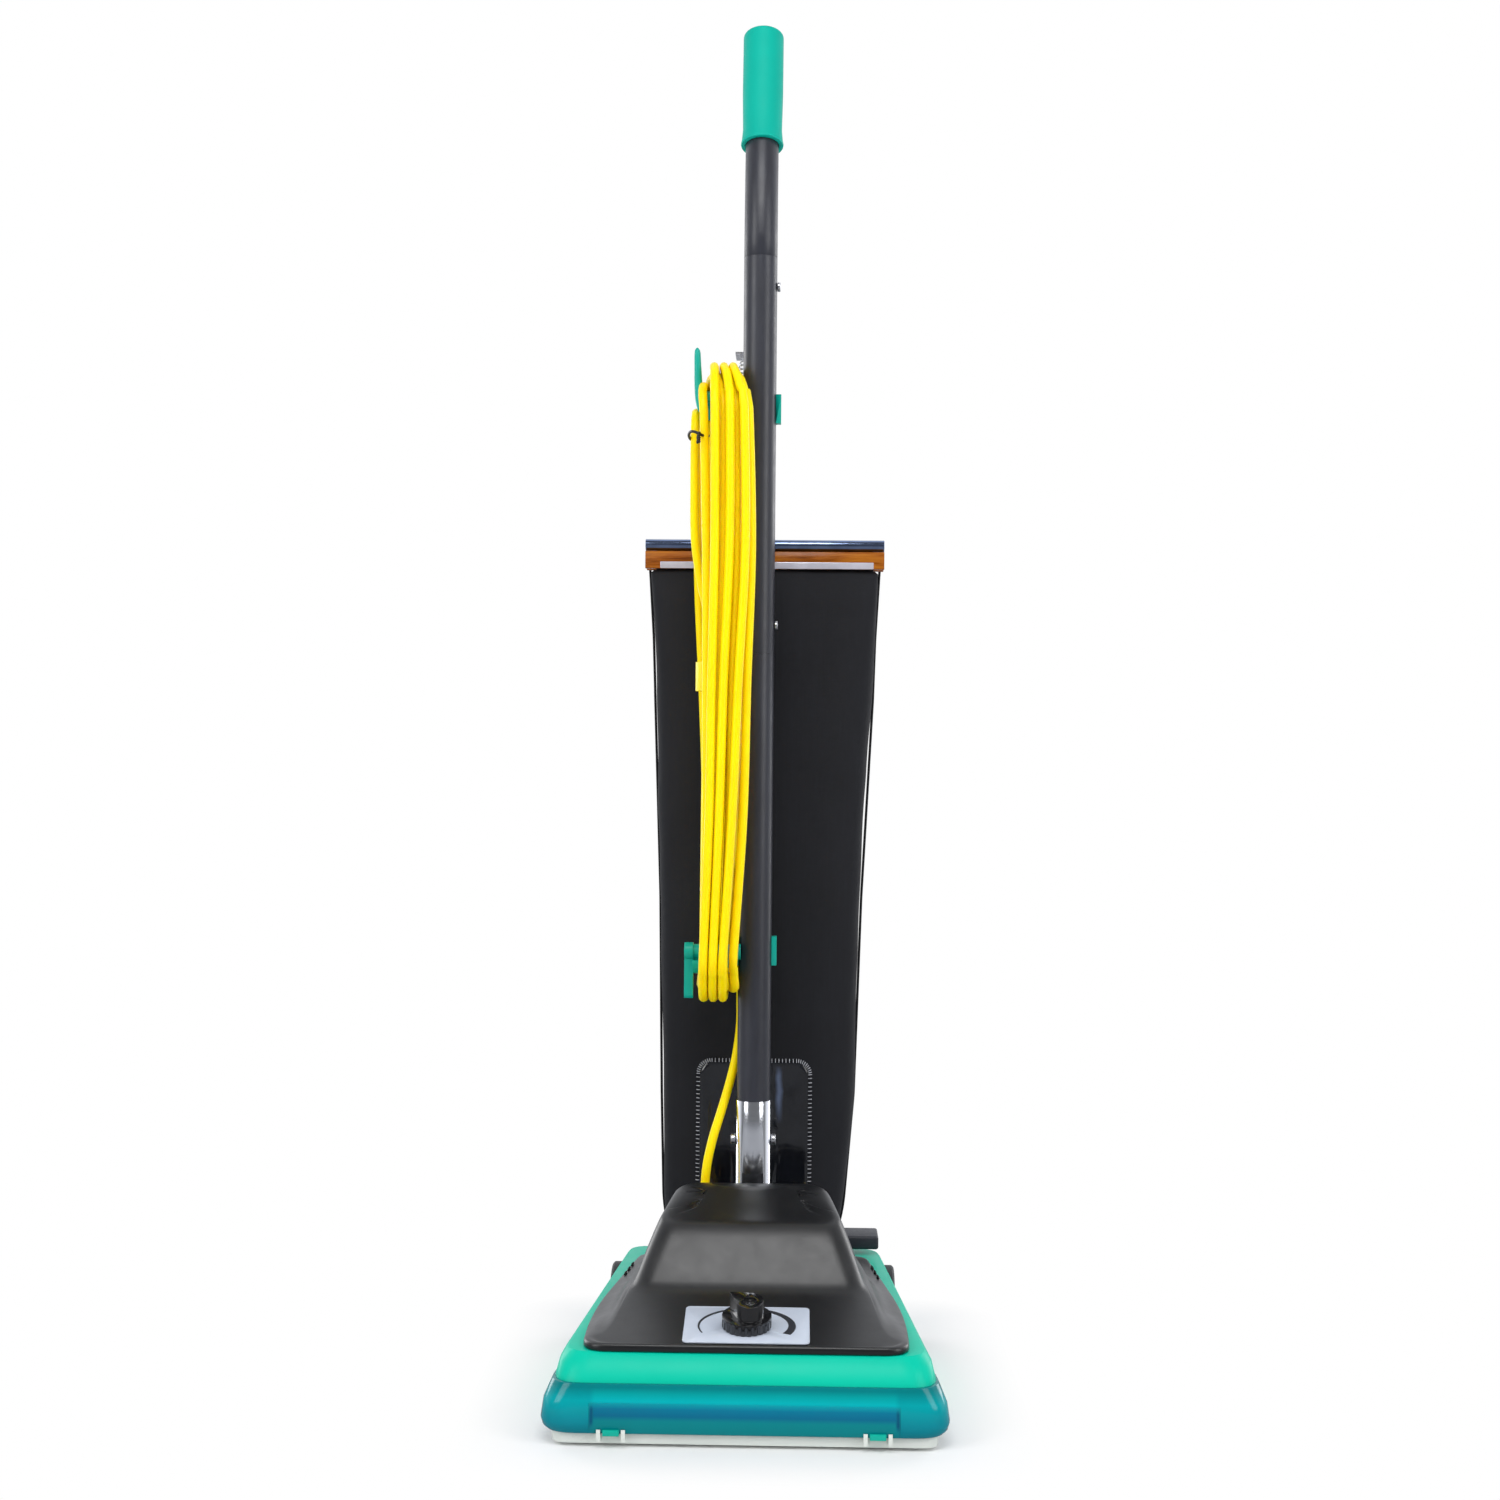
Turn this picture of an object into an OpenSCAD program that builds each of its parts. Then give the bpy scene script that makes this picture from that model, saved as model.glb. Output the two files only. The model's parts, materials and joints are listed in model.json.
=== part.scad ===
// Commercial upright vacuum cleaner with a shake-out cloth bag and a cord wound on two hooks.
// Millimetres, +Z up, -Y is the front. The origin lies on the floor under the middle of the machine.

/* [Base] */
// Width over the bumper guard
base_w = 321; // [314:1:334]
// Guard's front face ahead of the origin
base_front = 185; // [183:1:190]
// Housing's rear wall behind the origin
base_rear = 155; // [152:1:160]
// Width of the housing at its rear end
rear_w = 236; // [230:1:240]
// Height of the housing's rim at the front
rim_front = 69; // [67:0.5:71]
// Height of the housing's rim at the rear
rim_rear = 75; // [75:0.5:78]
// Wall thickness of the moulded covers
wall = 2.5; // [2:0.25:3]
// Thickness of the bumper guard
guard_t = 3.2; // [2.5:0.1:3.6]
// Thickness of the sole plate
sole_t = 8.5; // [7:0.5:9]

/* [Hood] */
// Height of the dome's top edge at the front lip
lip_z = 139; // [137:1:142]
// Rise of the dome's top from its lip to its rear edge
dome_rise = 20; // [16:1:24]
// Width of the dome's top at the lip
lip_w = 155; // [150:1:160]
// Width of the label plate
plate_w = 101; // [90:1:104]
// Diameter of the height knob
knob_d = 40; // [36:1:44]
// Height of the knob's wedge grip above the plate
knob_h = 24; // [20:1:26]

/* [Brush drive] */
// Radius of the brush roll over its bristles
brush_r = 22.8; // [21:0.2:23]
// Radius of the brush roll's core
core_r = 16; // [14:0.5:17]
// Distance from the guard's front face back to the brush axis
brush_back = 45; // [44:1:47]
// Height of the motor shaft
motor_z = 92; // [91:1:94]
// Outer radius of the motor case
motor_r = 41; // [38:1:42]
// Radius of the motor shaft
shaft_r = 5; // [4:0.5:6]
// Width of the drive belt
belt_w = 10; // [8:1:11]
// Thickness of the drive belt
belt_t = 3; // [2:0.5:3.5]

/* [Wheels] */
// Radius of the rear wheels
wheel_r = 35; // [34:0.5:36]
// Width of the rear wheels
wheel_w = 22; // [20:1:24]
// Thickness of the rubber tyre
tyre_t = 6; // [4:0.5:8]
// Radius of the rear axle
axle_r = 5; // [4:0.5:6]
// Radius of the front rollers
roller_r = 11; // [10:0.5:11.5]
// Travel of the front roller carriage
carriage_travel = 10; // [8:0.5:11]

/* [Handle] */
// Handle pivot behind the origin
pivot_y = 70; // [69:0.5:71]
// Height of the handle pivot
pivot_z = 62; // [61:0.5:63]
// Outside diameter of the handle tube
tube_d = 30; // [28:0.5:31]
// Wall of the handle tube
tube_wall = 1.5; // [1.2:0.1:2]
// Height of the chrome socket's rim
socket_top = 229; // [224:1:236]
// Height of the seam between the lower and middle tubes
seam_z = 630; // [610:1:640]
// Height of the seam below the grip's bend
top_seam_z = 987; // [975:1:995]
// Angle of the grip's backward bend
grip_tilt = 15; // [12:0.5:18]
// Length of the hand grip
grip_len = 115; // [105:1:125]
// Diameter of the hand grip
grip_d = 37; // [35:0.5:40]

/* [Cord storage] */
// Diameter of the power cord
cord_d = 8; // [7.6:0.1:8]
// Height of the upper hook's turning axis
upper_hook_z = 845; // [840:1:850]
// Height of the lower hook's saddle axis
lower_hook_z = 363; // [360:1:366]
// Both hooks' axes ahead of the handle tube's axis
hook_ahead = 12; // [12:0.5:13]
// Length of the upper hook's prong above its axis
prong_up = 56; // [50:1:58]
// Length of the lower hook's prong below its axis
prong_down = 42; // [36:1:48]

/* [Bag] */
// Width of the cloth bag under its clamp
bag_w = 210; // [204:1:216]
// Width of the cloth bag at its bottom
bag_bottom_w = 178; // [170:1:184]
// Bag's front face behind the handle tube's axis
bag_behind = 39; // [38.5:0.5:40]
// Depth of the bag from front to back
bag_depth = 76; // [70:1:78]
// Height of the bag's bottom
bag_bottom = 100; // [98:1:104]
// Height where the rigid bag ends and the folding skirt begins
skirt_top = 260; // [256:1:266]
// Height of the bag clamp's top
clamp_top = 741; // [735:1:748]
// Width of the bag clamp
clamp_w = 221; // [218:1:226]
// Outer radius of the exhaust duct
duct_r = 17; // [15:0.5:17.5]

/* [Hidden] */

$fn = 64;
eps = 0.01;
fit = 0.15;          // radial room of a fixed fit
run = 0.05;          // radial room of a turning fit
seat = 0.3;          // room between pieces that rest on each other
gap = 0.5;           // room beside moving faces

// ---- Places that follow from the sizes above ----
half_w = base_w / 2 + 3;                 // the covers are drawn in from this line
rear_half = rear_w / 2;
brush_y = brush_back - base_front;
brush_z = brush_r + 0.5;
axle_y = base_rear - 45;
wheel_x = rear_half + 0.5;               // middle of each rear wheel
hook_y = pivot_y - hook_ahead;
bag_y = pivot_y + bag_behind;
bag_back = bag_y + bag_depth;
rim_from = -base_front + 22;             // where the rim's slope starts
rim_slope = (rim_rear - rim_front) / (base_rear - rim_from);
function rim_z(y) = rim_front + rim_slope * (y - rim_from);

// ---- Shared functions ----
function unit(v) = v / norm(v);
function mix(a, b, t) = a + (b - a) * t;

// One rounded corner p between its neighbours q and r, cut back by rad on both sides
function bend(q, p, r, rad, n) = let (a = p + rad * unit(q - p), b = p + rad * unit(r - p))
    [for (i = [0:n]) let (t = i / n) (1 - t) * (1 - t) * a + 2 * t * (1 - t) * p + t * t * b];

// Rounded trapezoid seen from above. front and rear are [half width, y]; each height may slope
function ring(front, rear, radii, z, n = 6) =
    let (c = [[front[0], front[1]], [rear[0], rear[1]], [-rear[0], rear[1]], [-front[0], front[1]]],
         rad = [radii[0], radii[1], radii[1], radii[0]])
    [for (k = [0:3]) each [for (p = bend(c[(k + 3) % 4], c[k], c[(k + 1) % 4], rad[k], n))
        [p[0], p[1], z[0] + (z[1] - z[0]) * (p[1] - front[1]) / (rear[1] - front[1])]]];

// Skin over sections whose points turn right-handed about the way they are stacked
module skin(sections, loop = false) {
    s = len(sections);
    m = len(sections[0]);
    sides = [for (i = [0:loop ? s - 1 : s - 2], j = [0:m - 1])
        let (k = (i + 1) % s, n = (j + 1) % m) each [[i * m + j, k * m + j, k * m + n],
                                                    [i * m + j, k * m + n, i * m + n]]];
    caps = loop ? [] : [[for (j = [0:m - 1]) j], [for (j = [m - 1:-1:0]) (s - 1) * m + j]];
    polyhedron([for (r = sections) each r], concat(sides, caps));
}

// Sections of a round tube along a path. side is a direction the path never runs in
function tube_sections(path, r, side, n) = let (e = len(path) - 1)
    [for (i = [0:e]) let (t = unit(path[min(i + 1, e)] - path[max(i - 1, 0)]),
        a = unit(side - (side * t) * t), b = cross(t, a))
        [for (j = [0:n - 1]) path[i] + r * (cos(360 * j / n) * a + sin(360 * j / n) * b)]];
function path_length(path) = len(path) < 2 ? 0 :
    [for (i = 0, s = 0; i < len(path); s = s + (i < len(path) - 1 ? norm(path[i + 1] - path[i]) : 0),
        i = i + 1) s][len(path) - 1];

module along_x(x0, x1) {                 // extrudes a Y-Z outline from x0 to x1
    translate([x0, 0, 0]) rotate([90, 0, 90]) linear_extrude(x1 - x0) children();
}
module rod_x(x0, x1, y, z, r) {
    translate([x0, y, z]) rotate([0, 90, 0]) cylinder(r = r, h = x1 - x0);
}
module rod_y(x, y0, y1, z, r) {
    translate([x, y1, z]) rotate([90, 0, 0]) cylinder(r = r, h = y1 - y0);
}
module rod_z(x, y, z0, z1, r) {
    translate([x, y, z0]) cylinder(r = r, h = z1 - z0);
}
module box(lo, hi) {
    translate(lo) cube(hi - lo);
}
module both() {
    for (s = [0, 1]) mirror([s, 0, 0]) children();
}
module ring_sector(r0, r1, a0, a1, n = 24) {   // flat sector of a ring, angles from +Y towards +Z
    polygon(concat([for (i = [0:n]) let (a = mix(a0, a1, i / n)) r1 * [cos(a), sin(a)]],
                   [for (i = [n:-1:0]) let (a = mix(a0, a1, i / n)) r0 * [cos(a), sin(a)]]));
}

// ================= Base: covers =================

sole_front = base_front - 7;
sole_half = half_w - 10.5;
sole_inset = 2.5;                        // sole plate inside the housing's wall at the rear
mouth_half = half_w - 37.5;
mouth_front = brush_y - 27;
mouth_rear = brush_y + 27;
carriage_y = brush_y + 52;
slot_x = [33, 61];
slot_half = 13.5;

module sole_outline() {
    polygon([for (p = ring([sole_half, -sole_front], [rear_half - sole_inset, base_rear - 3],
        [16, 12], [0, 0])) [p[0], p[1]]]);
}
guide_x = 20;
guide_r = 3;
guide_top = 48;
module sole_plate() {
    color("gainsboro") {
        difference() {
            linear_extrude(sole_t) sole_outline();
            box([-mouth_half, mouth_front, -1], [mouth_half, mouth_rear, sole_t + 1]);
            both() box([slot_x[0], carriage_y - slot_half, -1],
                       [slot_x[1], carriage_y + slot_half, sole_t + 1]);
            both() box([wheel_x - wheel_w / 2 - 3, axle_y - wheel_r - 4, -1],
                       [half_w, axle_y + wheel_r + 4, sole_t + 1]);
        }
        both() rod_z(guide_x, carriage_y + 4, sole_t - eps, guide_top, guide_r);
        both() for (x = [half_w - 69.5, half_w - 50.2])
            along_x(x - 1.6, x + 1.6) polygon([[-base_front, 3], [1 - sole_front, 3], [1 - sole_front, sole_t],
                [1 - base_front, sole_t], [1 - base_front, 12.5], [-base_front, 12.5]]);
    }
}
recess = 1.6;                            // depth of the guard's recessed lower face

module sole_latches() {
    color("turquoise") both() {
        box([half_w - 66.5, -base_front, 3], [half_w - 53.2, -sole_front - seat, 7]);
        box([half_w - 66.5, -base_front, 7 - eps], [half_w - 53.2, recess - base_front, 13]);
    }
}

// Housing wall, listed from the rim down the outside, up the inside and back under the ledge.
// Each entry: [z front, z rear, in from guard's half width, in from its front, in at the rear side]
guard_top = 46.5;
step_z = guard_top + gap;
inner_r = 14;
function house_ring(z, side, front, rear_side, rear, rads) =
    ring([half_w - side, -base_front + front], [rear_half - rear_side, base_rear - rear], rads, [z, z]);
function rim_ring(drop, side, front, rear_side, rear, rads) = let (f = -base_front + front, b = base_rear - rear)
    ring([half_w - side, f], [rear_half - rear_side, b], rads, [rim_z(f) - drop, rim_z(b) - drop]);
ledge_front = 36;
ledge_side = 47.5;
ledge_rear = 50;
ledge_rear_side = 26;
house_levels = [
    rim_ring(0, 20, 24, 3.5, 2.5, [24, 16]),
    rim_ring(2, 17.5, 21.5, 2, 1, [26, 17]),
    rim_ring(8, 13.5, 15.5, 0.6, 0.2, [28, 18]),
    house_ring(step_z, 9.5, 7, 0, 0, [30, 18]),
    house_ring(step_z, 16.5, 12.5, 0.8, 0.5, [22, 18]),
    house_ring(sole_t, 17.5, 13.2, 1, 1, [18, 16]),
    house_ring(sole_t, 17.5 + wall, 13.2 + wall, 1 + wall, 1 + wall, [inner_r, 14]),
    house_ring(step_z, 16.5 + wall, 12.5 + wall, 0.5 + wall, wall, [inner_r, 16]),
    rim_ring(8, 13.5 + wall, 15.5 + wall, 1 + wall, 1 + wall, [24, 16]),
    rim_ring(wall, 20, 24, 3.5, 3.5, [24, 16]),
    rim_ring(wall, ledge_side, ledge_front, ledge_rear_side, ledge_rear, [16, 12]),
    rim_ring(0, ledge_side, ledge_front, ledge_rear_side, ledge_rear, [16, 12])];
notch_half = 24.5;                       // clear way for the handle at the rear
pedal_slot = [62, 98];                   // switch pedal's window, to the left

module wheel_well() {                    // arch over a rear wheel, open at the bottom
    translate([axle_y, wheel_r]) circle(wheel_r + 1.5);
    translate([axle_y - wheel_r - 1.5, -1]) square([2 * wheel_r + 3, wheel_r + 1]);
}
module nozzle_housing() {
    color("mediumturquoise") difference() {
        skin([for (i = [0:len(house_levels[0]) - 1]) [for (l = house_levels) l[i]]], loop = true);
        both() along_x(wheel_x - wheel_w / 2 - 2.5, half_w) wheel_well();
        box([-notch_half, base_rear - ledge_rear - 3, pivot_z - 4], [notch_half, base_rear + 5, rim_rear + 9]);
        box([-pedal_slot[1], base_rear - 8, 48], [-pedal_slot[0], base_rear + 5, 68]);
    }
}

// Guard: outside from the bottom up, then inside from the top down, open at the sides' rear ends.
// Each level: height, then how far it draws in at the side, at the front and at its rear end
guard_end_y = 108 - base_front;
corner_out = 3.7;                        // the corners' rounding takes this much off the width
guard_levels = [[sole_t + seat, 4.6, 3, 20], [12, 1.6, 1, 17.5], [18, 0, 0, 16], [32, 2.4, 1.2, 16.5],
    [guard_top, 9.5, 5, 20]];
function guard_row(l, t) =
    let (f = [base_w / 2 + corner_out - l[1] - t, -base_front + l[2] + t], e = [half_w - l[3] - 0.9 * t, guard_end_y])
    [for (p = concat([e], bend(e, f, [-f[0], f[1]], 28 - t, 7),
        bend(f, [-f[0], f[1]], [-e[0], e[1]], 28 - t, 7), [[-e[0], e[1]]])) [p[0], p[1], l[0]]];

module bumper_guard() {
    rows = concat([for (l = guard_levels) guard_row(l, 0)],
        [for (k = [len(guard_levels) - 1:-1:0]) guard_row(guard_levels[k], guard_t)]);
    color("darkcyan", 0.85) difference() {
        skin([for (i = [0:len(rows[0]) - 1]) [for (row = rows) row[i]]]);
        box([-half_w + 42.5, -base_front - 5, 0], [half_w - 42.5, recess - base_front, 33]);
    }
}

// ---- Hood: flange, sloping deck and dome, one moulding ----
flange_t = 2.2;
deck_front = -base_front + 30;           // y of the deck's front edge
deck_z0 = rim_front + 5;
deck_slope = 0.172;
function deck_z(y) = deck_z0 + deck_slope * (y - deck_front);
dome_front = -65;
lip_y = -30;
dome_back = 40;
dome_top = lip_z + dome_rise;
slot_half_x = 31;                        // handle slot in the hood

function flange_ring(side, front, rear_side, rear, up, rads) =
    let (f = -base_front + front, b = base_rear - rear)
    ring([half_w - side, f], [rear_half - rear_side, b], rads, [rim_z(f) + up, rim_z(b) + up]);
function deck_form(t) = [
    flange_ring(43 + t, 27.5 + t, 21 + t, 130, t > 0 ? -1 : seat, [16, 6]),
    flange_ring(43 + t, 27.5 + t, 21 + t, 130, 1, [16, 6]),
    ring([half_w - 53 - t, deck_front + t], [half_w - 66 - t, -22 - t],
        [14, 6], [deck_z(deck_front) - t, deck_z(-22) - t])];
function dome_form(t) = [
    flange_ring(51 + t, 113 + t, 24 + t, 104 + t, t > 0 ? -1 : seat, [22, 18]),
    flange_ring(51 + t, 113 + t, 24 + t, 104 + t, 1, [22, 18]),
    ring([lip_w / 2 + 23 - t, dome_front - 1 + t], [lip_w / 2 + 11 - t, dome_back + 5 - t], [22, 18], [90, 97]),
    ring([lip_w / 2 + 1.5 - t, lip_y - 1.5 + t], [lip_w / 2 - 13 - t, dome_back - t],
        [20, 16], [lip_z - 2.5 - t, dome_top - 2.5 - t]),
    ring([lip_w / 2 - 1.5 - t, lip_y + 1.5 + t], [lip_w / 2 - 16 - t, dome_back - 3 - t],
        [18, 14], [lip_z - t * 1.1, dome_top - t * 1.1])];
duct_x = 50;
duct_z = 118;
knob_y = deck_front + 30;
knob_tilt = atan(deck_slope);

module at_knob() {                       // frame on the deck, its Z square to the deck
    translate([0, knob_y, deck_z(knob_y)]) rotate([knob_tilt, 0, 0]) children();
}
stem_r = 8;
module motor_hood() {
    color("#2a2e33") difference() {
        union() {
            skin([flange_ring(32, 22.5, 14.5, 37, seat, [20, 14]),
                  flange_ring(32, 22.5, 14.5, 37, flange_t, [20, 14]),
                  flange_ring(33.2, 23.7, 15.7, 38.2, flange_t + 0.8, [19, 13])]);
            skin(deck_form(0));
            skin(dome_form(0));
        }
        skin(deck_form(wall));
        skin(dome_form(wall));
        box([-slot_half_x, pivot_y - 22, pivot_z], [slot_half_x, base_rear, 110]);
        rod_y(duct_x, dome_back - 20, dome_back + 30, duct_z, duct_r + 0.4);
        at_knob() translate([0, 0, -10]) cylinder(r = stem_r + 0.4, h = 30);
        translate([gland_x, gland_y, 60]) cylinder(r = 7.4, h = 40);
    }
}

plate_t = 1.2;
module dial_plate() {                    // label plate with a raised wedge-shaped speed arc
    color("lightsteelblue") at_knob() difference() {
        union() {
            translate([0, 3, seat]) linear_extrude(plate_t)
                offset_square(plate_w, 64, 4);
            translate([0, 0, seat + plate_t - eps]) linear_extrude(0.4)
                arc_wedge(plate_w * 0.39, arc_squash);
        }
        translate([0, 0, -1]) cylinder(r = stem_r + 0.4, h = 5);
    }
}
module offset_square(w, h, r) {
    for (s = [-1, 1], t = [-1, 1]) translate([s * (w / 2 - r), t * (h / 2 - r)]) circle(r);
    square([w - 2 * r, h], center = true);
    square([w, h - 2 * r], center = true);
}
arc_squash = 0.8;                        // the speed arc is an ellipse, lower than it is wide
module arc_wedge(r, squash) {            // grows inwards from a thin left end to a broad right one
    n = 30;
    a = [for (i = [0:n]) mix(205, -28, i / n)];
    polygon(concat([for (i = [0:n]) r * [cos(a[i]), squash * sin(a[i])]],
        [for (i = [n:-1:0]) (r - mix(0.8, 6.5, i / n)) * [cos(a[i]), squash * sin(a[i])]]));
}

screw_places = [[half_w - 43.2, deck_front + 25], [rear_half - 19.5, base_rear - 90]];
module hood_screws() {                   // pan heads on the flange
    color("dimgray") both() for (p = screw_places) {
        z = rim_z(p[1]) + flange_t + 0.8 + seat;
        rod_z(p[0], p[1], z, z + 1.8, 2.8);
    }
}

// ================= Base: brush, drive and fan =================

tunnel_in = brush_r + 3.2;
tunnel_out = tunnel_in + 1.6;
chamber_half = mouth_half;
belt_x = -70;
belt_room = belt_w / 2 + 3;
duct_port = [68.5, 76.5];                // air duct between the brush tunnel and the fan

module tunnel_profile(r) {
    translate([brush_y, brush_z]) circle(r);
    translate([brush_y - r, sole_t]) square([2 * r, brush_z - sole_t]);
}
module brush_chamber() {
    color("silver") difference() {
        along_x(-chamber_half, chamber_half) difference() {
            tunnel_profile(tunnel_out);
            tunnel_profile(tunnel_in);
            translate([brush_y - 40, -20]) square([80, 20 + sole_t]);
        }
        box([belt_x - belt_room, brush_y, sole_t + 3], [belt_x + belt_room, brush_y + 40, 60]);
        box([duct_port[0], brush_y, sole_t + 3], [duct_port[1], brush_y + 40, 30]);
    }
}
end_t = 6.5;
stub_r = 4;
module brush_ends() {
    color("dimgray") both() difference() {
        along_x(chamber_half + seat, chamber_half + seat + end_t) difference() {
            tunnel_profile(tunnel_out);
            translate([brush_y - 40, -20]) square([80, 20 + sole_t]);
        }
        rod_x(chamber_half - 1, chamber_half + seat + end_t + 1, brush_y, brush_z, stub_r + run);
    }
}

pulley_r = 7;
groove_r = 12;
function belt_outline(r0, r1, d, n) = let (a = acos((r0 - r1) / d))
    concat([for (i = [0:n]) let (t = mix(a, 360 - a, i / n)) r0 * [cos(t), sin(t)]],
           [for (i = [0:n]) let (t = mix(-a, a, i / n)) [d + r1 * cos(t), r1 * sin(t)]]);
belt_run = norm([brush_y, motor_z - brush_z]);
belt_angle = atan2(brush_z - motor_z, brush_y);
module drive_belt() {
    color("#202020") along_x(belt_x - belt_w / 2, belt_x + belt_w / 2)
        translate([0, motor_z]) rotate(belt_angle) difference() {
            polygon(belt_outline(pulley_r + seat + belt_t, groove_r + seat + belt_t, belt_run, 24));
            polygon(belt_outline(pulley_r + seat, groove_r + seat, belt_run, 24));
        }
}

fan_x = [42, 67];
fan_r = 41;
motor_x = [-52, 38];
foot_x = [[-46, -40], [22, 28]];
bearing_t = 7;
bearing_r = 11;
module motor_case() {
    color("dimgray") difference() {
        union() {
            rod_x(motor_x[0], motor_x[1], 0, motor_z, motor_r);
            for (f = foot_x) box([f[0], -32, sole_t], [f[1], 32, motor_z - 12]);
            rod_x(motor_x[1] - eps, fan_x[0] - seat, 0, motor_z, 22);
        }
        rod_x(motor_x[0] + 3, motor_x[1] - 3, 0, motor_z, motor_r - 9);
        rod_x(motor_x[0] - 1, fan_x[0] + 1, 0, motor_z, shaft_r + 1.5);
        rod_x(motor_x[0] + 1.5, motor_x[0] + 4, 0, motor_z, bearing_r + fit);
        rod_x(motor_x[0] + 1.5, motor_x[0] + 1.5 + bearing_t, 0, motor_z, bearing_r + fit);
        rod_x(motor_x[1] - 1.5 - bearing_t, motor_x[1] - 1.5, 0, motor_z, bearing_r + fit);
        for (a = [0:30:330]) rotate_x(a) box([motor_x[0] - 1, 20, -2.5], [motor_x[0] + 4, 29, 2.5]);
    }
}
module rotate_x(a) {                     // turns about the motor shaft
    translate([0, 0, motor_z]) rotate([a, 0, 0]) children();
}
module motor_bearings() {
    color("silver") for (x = [motor_x[0] + 1.5 + fit, motor_x[1] - 1.5 - bearing_t + fit]) difference() {
        rod_x(x, x + bearing_t - 2 * fit, 0, motor_z, bearing_r);
        rod_x(x - 1, x + bearing_t + 1, 0, motor_z, shaft_r + run);
    }
}
module motor_shaft() {                   // its end is turned as the belt's flanged pulley
    color("silver") {
        rod_x(belt_x - belt_w / 2 - 3, fan_x[1] - 5, 0, motor_z, shaft_r);
        rod_x(belt_x - belt_w / 2 - 1, belt_x + belt_w / 2 + 1, 0, motor_z, pulley_r);
        for (x = [belt_x - belt_w / 2 - 3, belt_x + belt_w / 2 + 1])
            rod_x(x, x + 2, 0, motor_z, pulley_r + belt_t);
    }
}
module armature() {
    color("darkgoldenrod") difference() {
        union() {
            rod_x(motor_x[0] + 24, motor_x[1] - 18, 0, motor_z, motor_r - 11.5);
            rod_x(motor_x[0] + 12, motor_x[0] + 24 + eps, 0, motor_z, 15);
        }
        rod_x(motor_x[0], motor_x[1], 0, motor_z, shaft_r + run);
        for (a = [0:30:330]) rotate_x(a) box([motor_x[0] + 23, motor_r - 16, -1.5], [motor_x[1] - 17, motor_r, 1.5]);
    }
}
core_half = chamber_half - 2;
module brush_core() {                    // turned core with a belt groove and two stub axles
    color("tan") {
        difference() {
            rod_x(-core_half, core_half, brush_y, brush_z, core_r);
            difference() {
                rod_x(belt_x - belt_w / 2 - 1, belt_x + belt_w / 2 + 1, brush_y, brush_z, core_r + 1);
                rod_x(belt_x - belt_w, belt_x + belt_w, brush_y, brush_z, groove_r);
            }
        }
        both() rod_x(core_half - eps, chamber_half + seat + end_t, brush_y, brush_z, stub_r);
    }
}
strip_n = 20;
module bristles() {                      // two spiral strips, parted where the belt runs
    color("#2b2b2b") difference() {
        for (start = [0, 180]) skin([for (i = [0:strip_n]) let (a = start + 200 * i / strip_n)
            [for (c = [[core_r + seat, -2.5], [brush_r - 0.2, -2.5], [brush_r - 0.2, 2.5], [core_r + seat, 2.5]])
                [mix(4 - core_half, core_half - 4, i / strip_n), brush_y + c[0] * cos(a) - c[1] * sin(a),
                    brush_z + c[0] * sin(a) + c[1] * cos(a)]]]);
        rod_x(belt_x - belt_w / 2 - 4, belt_x + belt_w / 2 + 4, brush_y, brush_z, brush_r + 2);
    }
}
hub_r = 9;
blades = 8;
blade_t = 1.6;
module impeller() {                      // back plate, hub and curved blades
    color("darkgray") difference() {
        union() {
            rod_x(fan_x[0] + 5, fan_x[0] + 7, 0, motor_z, fan_r - 6);
            rod_x(fan_x[0] + 5, fan_x[1] - 7, 0, motor_z, hub_r);
            along_x(fan_x[0] + 6, fan_x[1] - 6) translate([0, motor_z]) for (i = [0:blades - 1])
                rotate(i * 360 / blades) translate([hub_r - 1, 0])
                    translate([14, -16]) ring_sector(21 - blade_t, 21, 45, 132, 10);
        }
        rod_x(fan_x[0], fan_x[1], 0, motor_z, shaft_r + run);
    }
}
fan_wall = 2;
eye_r = 14;
module fan_housing() {
    color("slategray") difference() {
        union() {
            rod_x(fan_x[0], fan_x[1], 0, motor_z, fan_r);
            box([fan_x[0], 0, duct_z - 16], [fan_x[1] - 6, outlet_y, duct_z + 14]);
        }
        rod_x(fan_x[0] + fan_wall, fan_x[1] - fan_wall, 0, motor_z, fan_r - fan_wall);
        box([fan_x[0] + fan_wall, 0, duct_z - 14], [fan_x[1] - 8, outlet_y + 1, duct_z + 12]);
        rod_x(fan_x[0] - 1, fan_x[0] + 4, 0, motor_z, shaft_r + 1.5);
        rod_x(fan_x[1] - 4, fan_x[1] + 1, 0, motor_z, eye_r);
    }
}
outlet_y = 36;
air_x = [fan_x[1] + seat, fan_x[1] + 11];
module air_duct() {                      // from the tunnel's port back and up to the fan's eye
    t = 1.6;
    rear = 17;
    top = motor_z + eye_r + 2;
    front = brush_y + tunnel_out + seat;
    color("slategray") difference() {
        union() {
            box([air_x[0], -rear, sole_t + seat], [air_x[1], rear, top]);
            box([air_x[0], front, sole_t + seat], [air_x[1], -rear + 1, 34]);
        }
        box([air_x[0] + t, -rear + t, sole_t + t + seat], [air_x[1] - t, rear - t, top - t]);
        box([air_x[0] + t, front - 1, sole_t + t + seat], [air_x[1] - t, -rear + 5, 34 - t]);
        rod_x(air_x[0] - 1, air_x[0] + 5, 0, motor_z, eye_r);
    }
}
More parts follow.
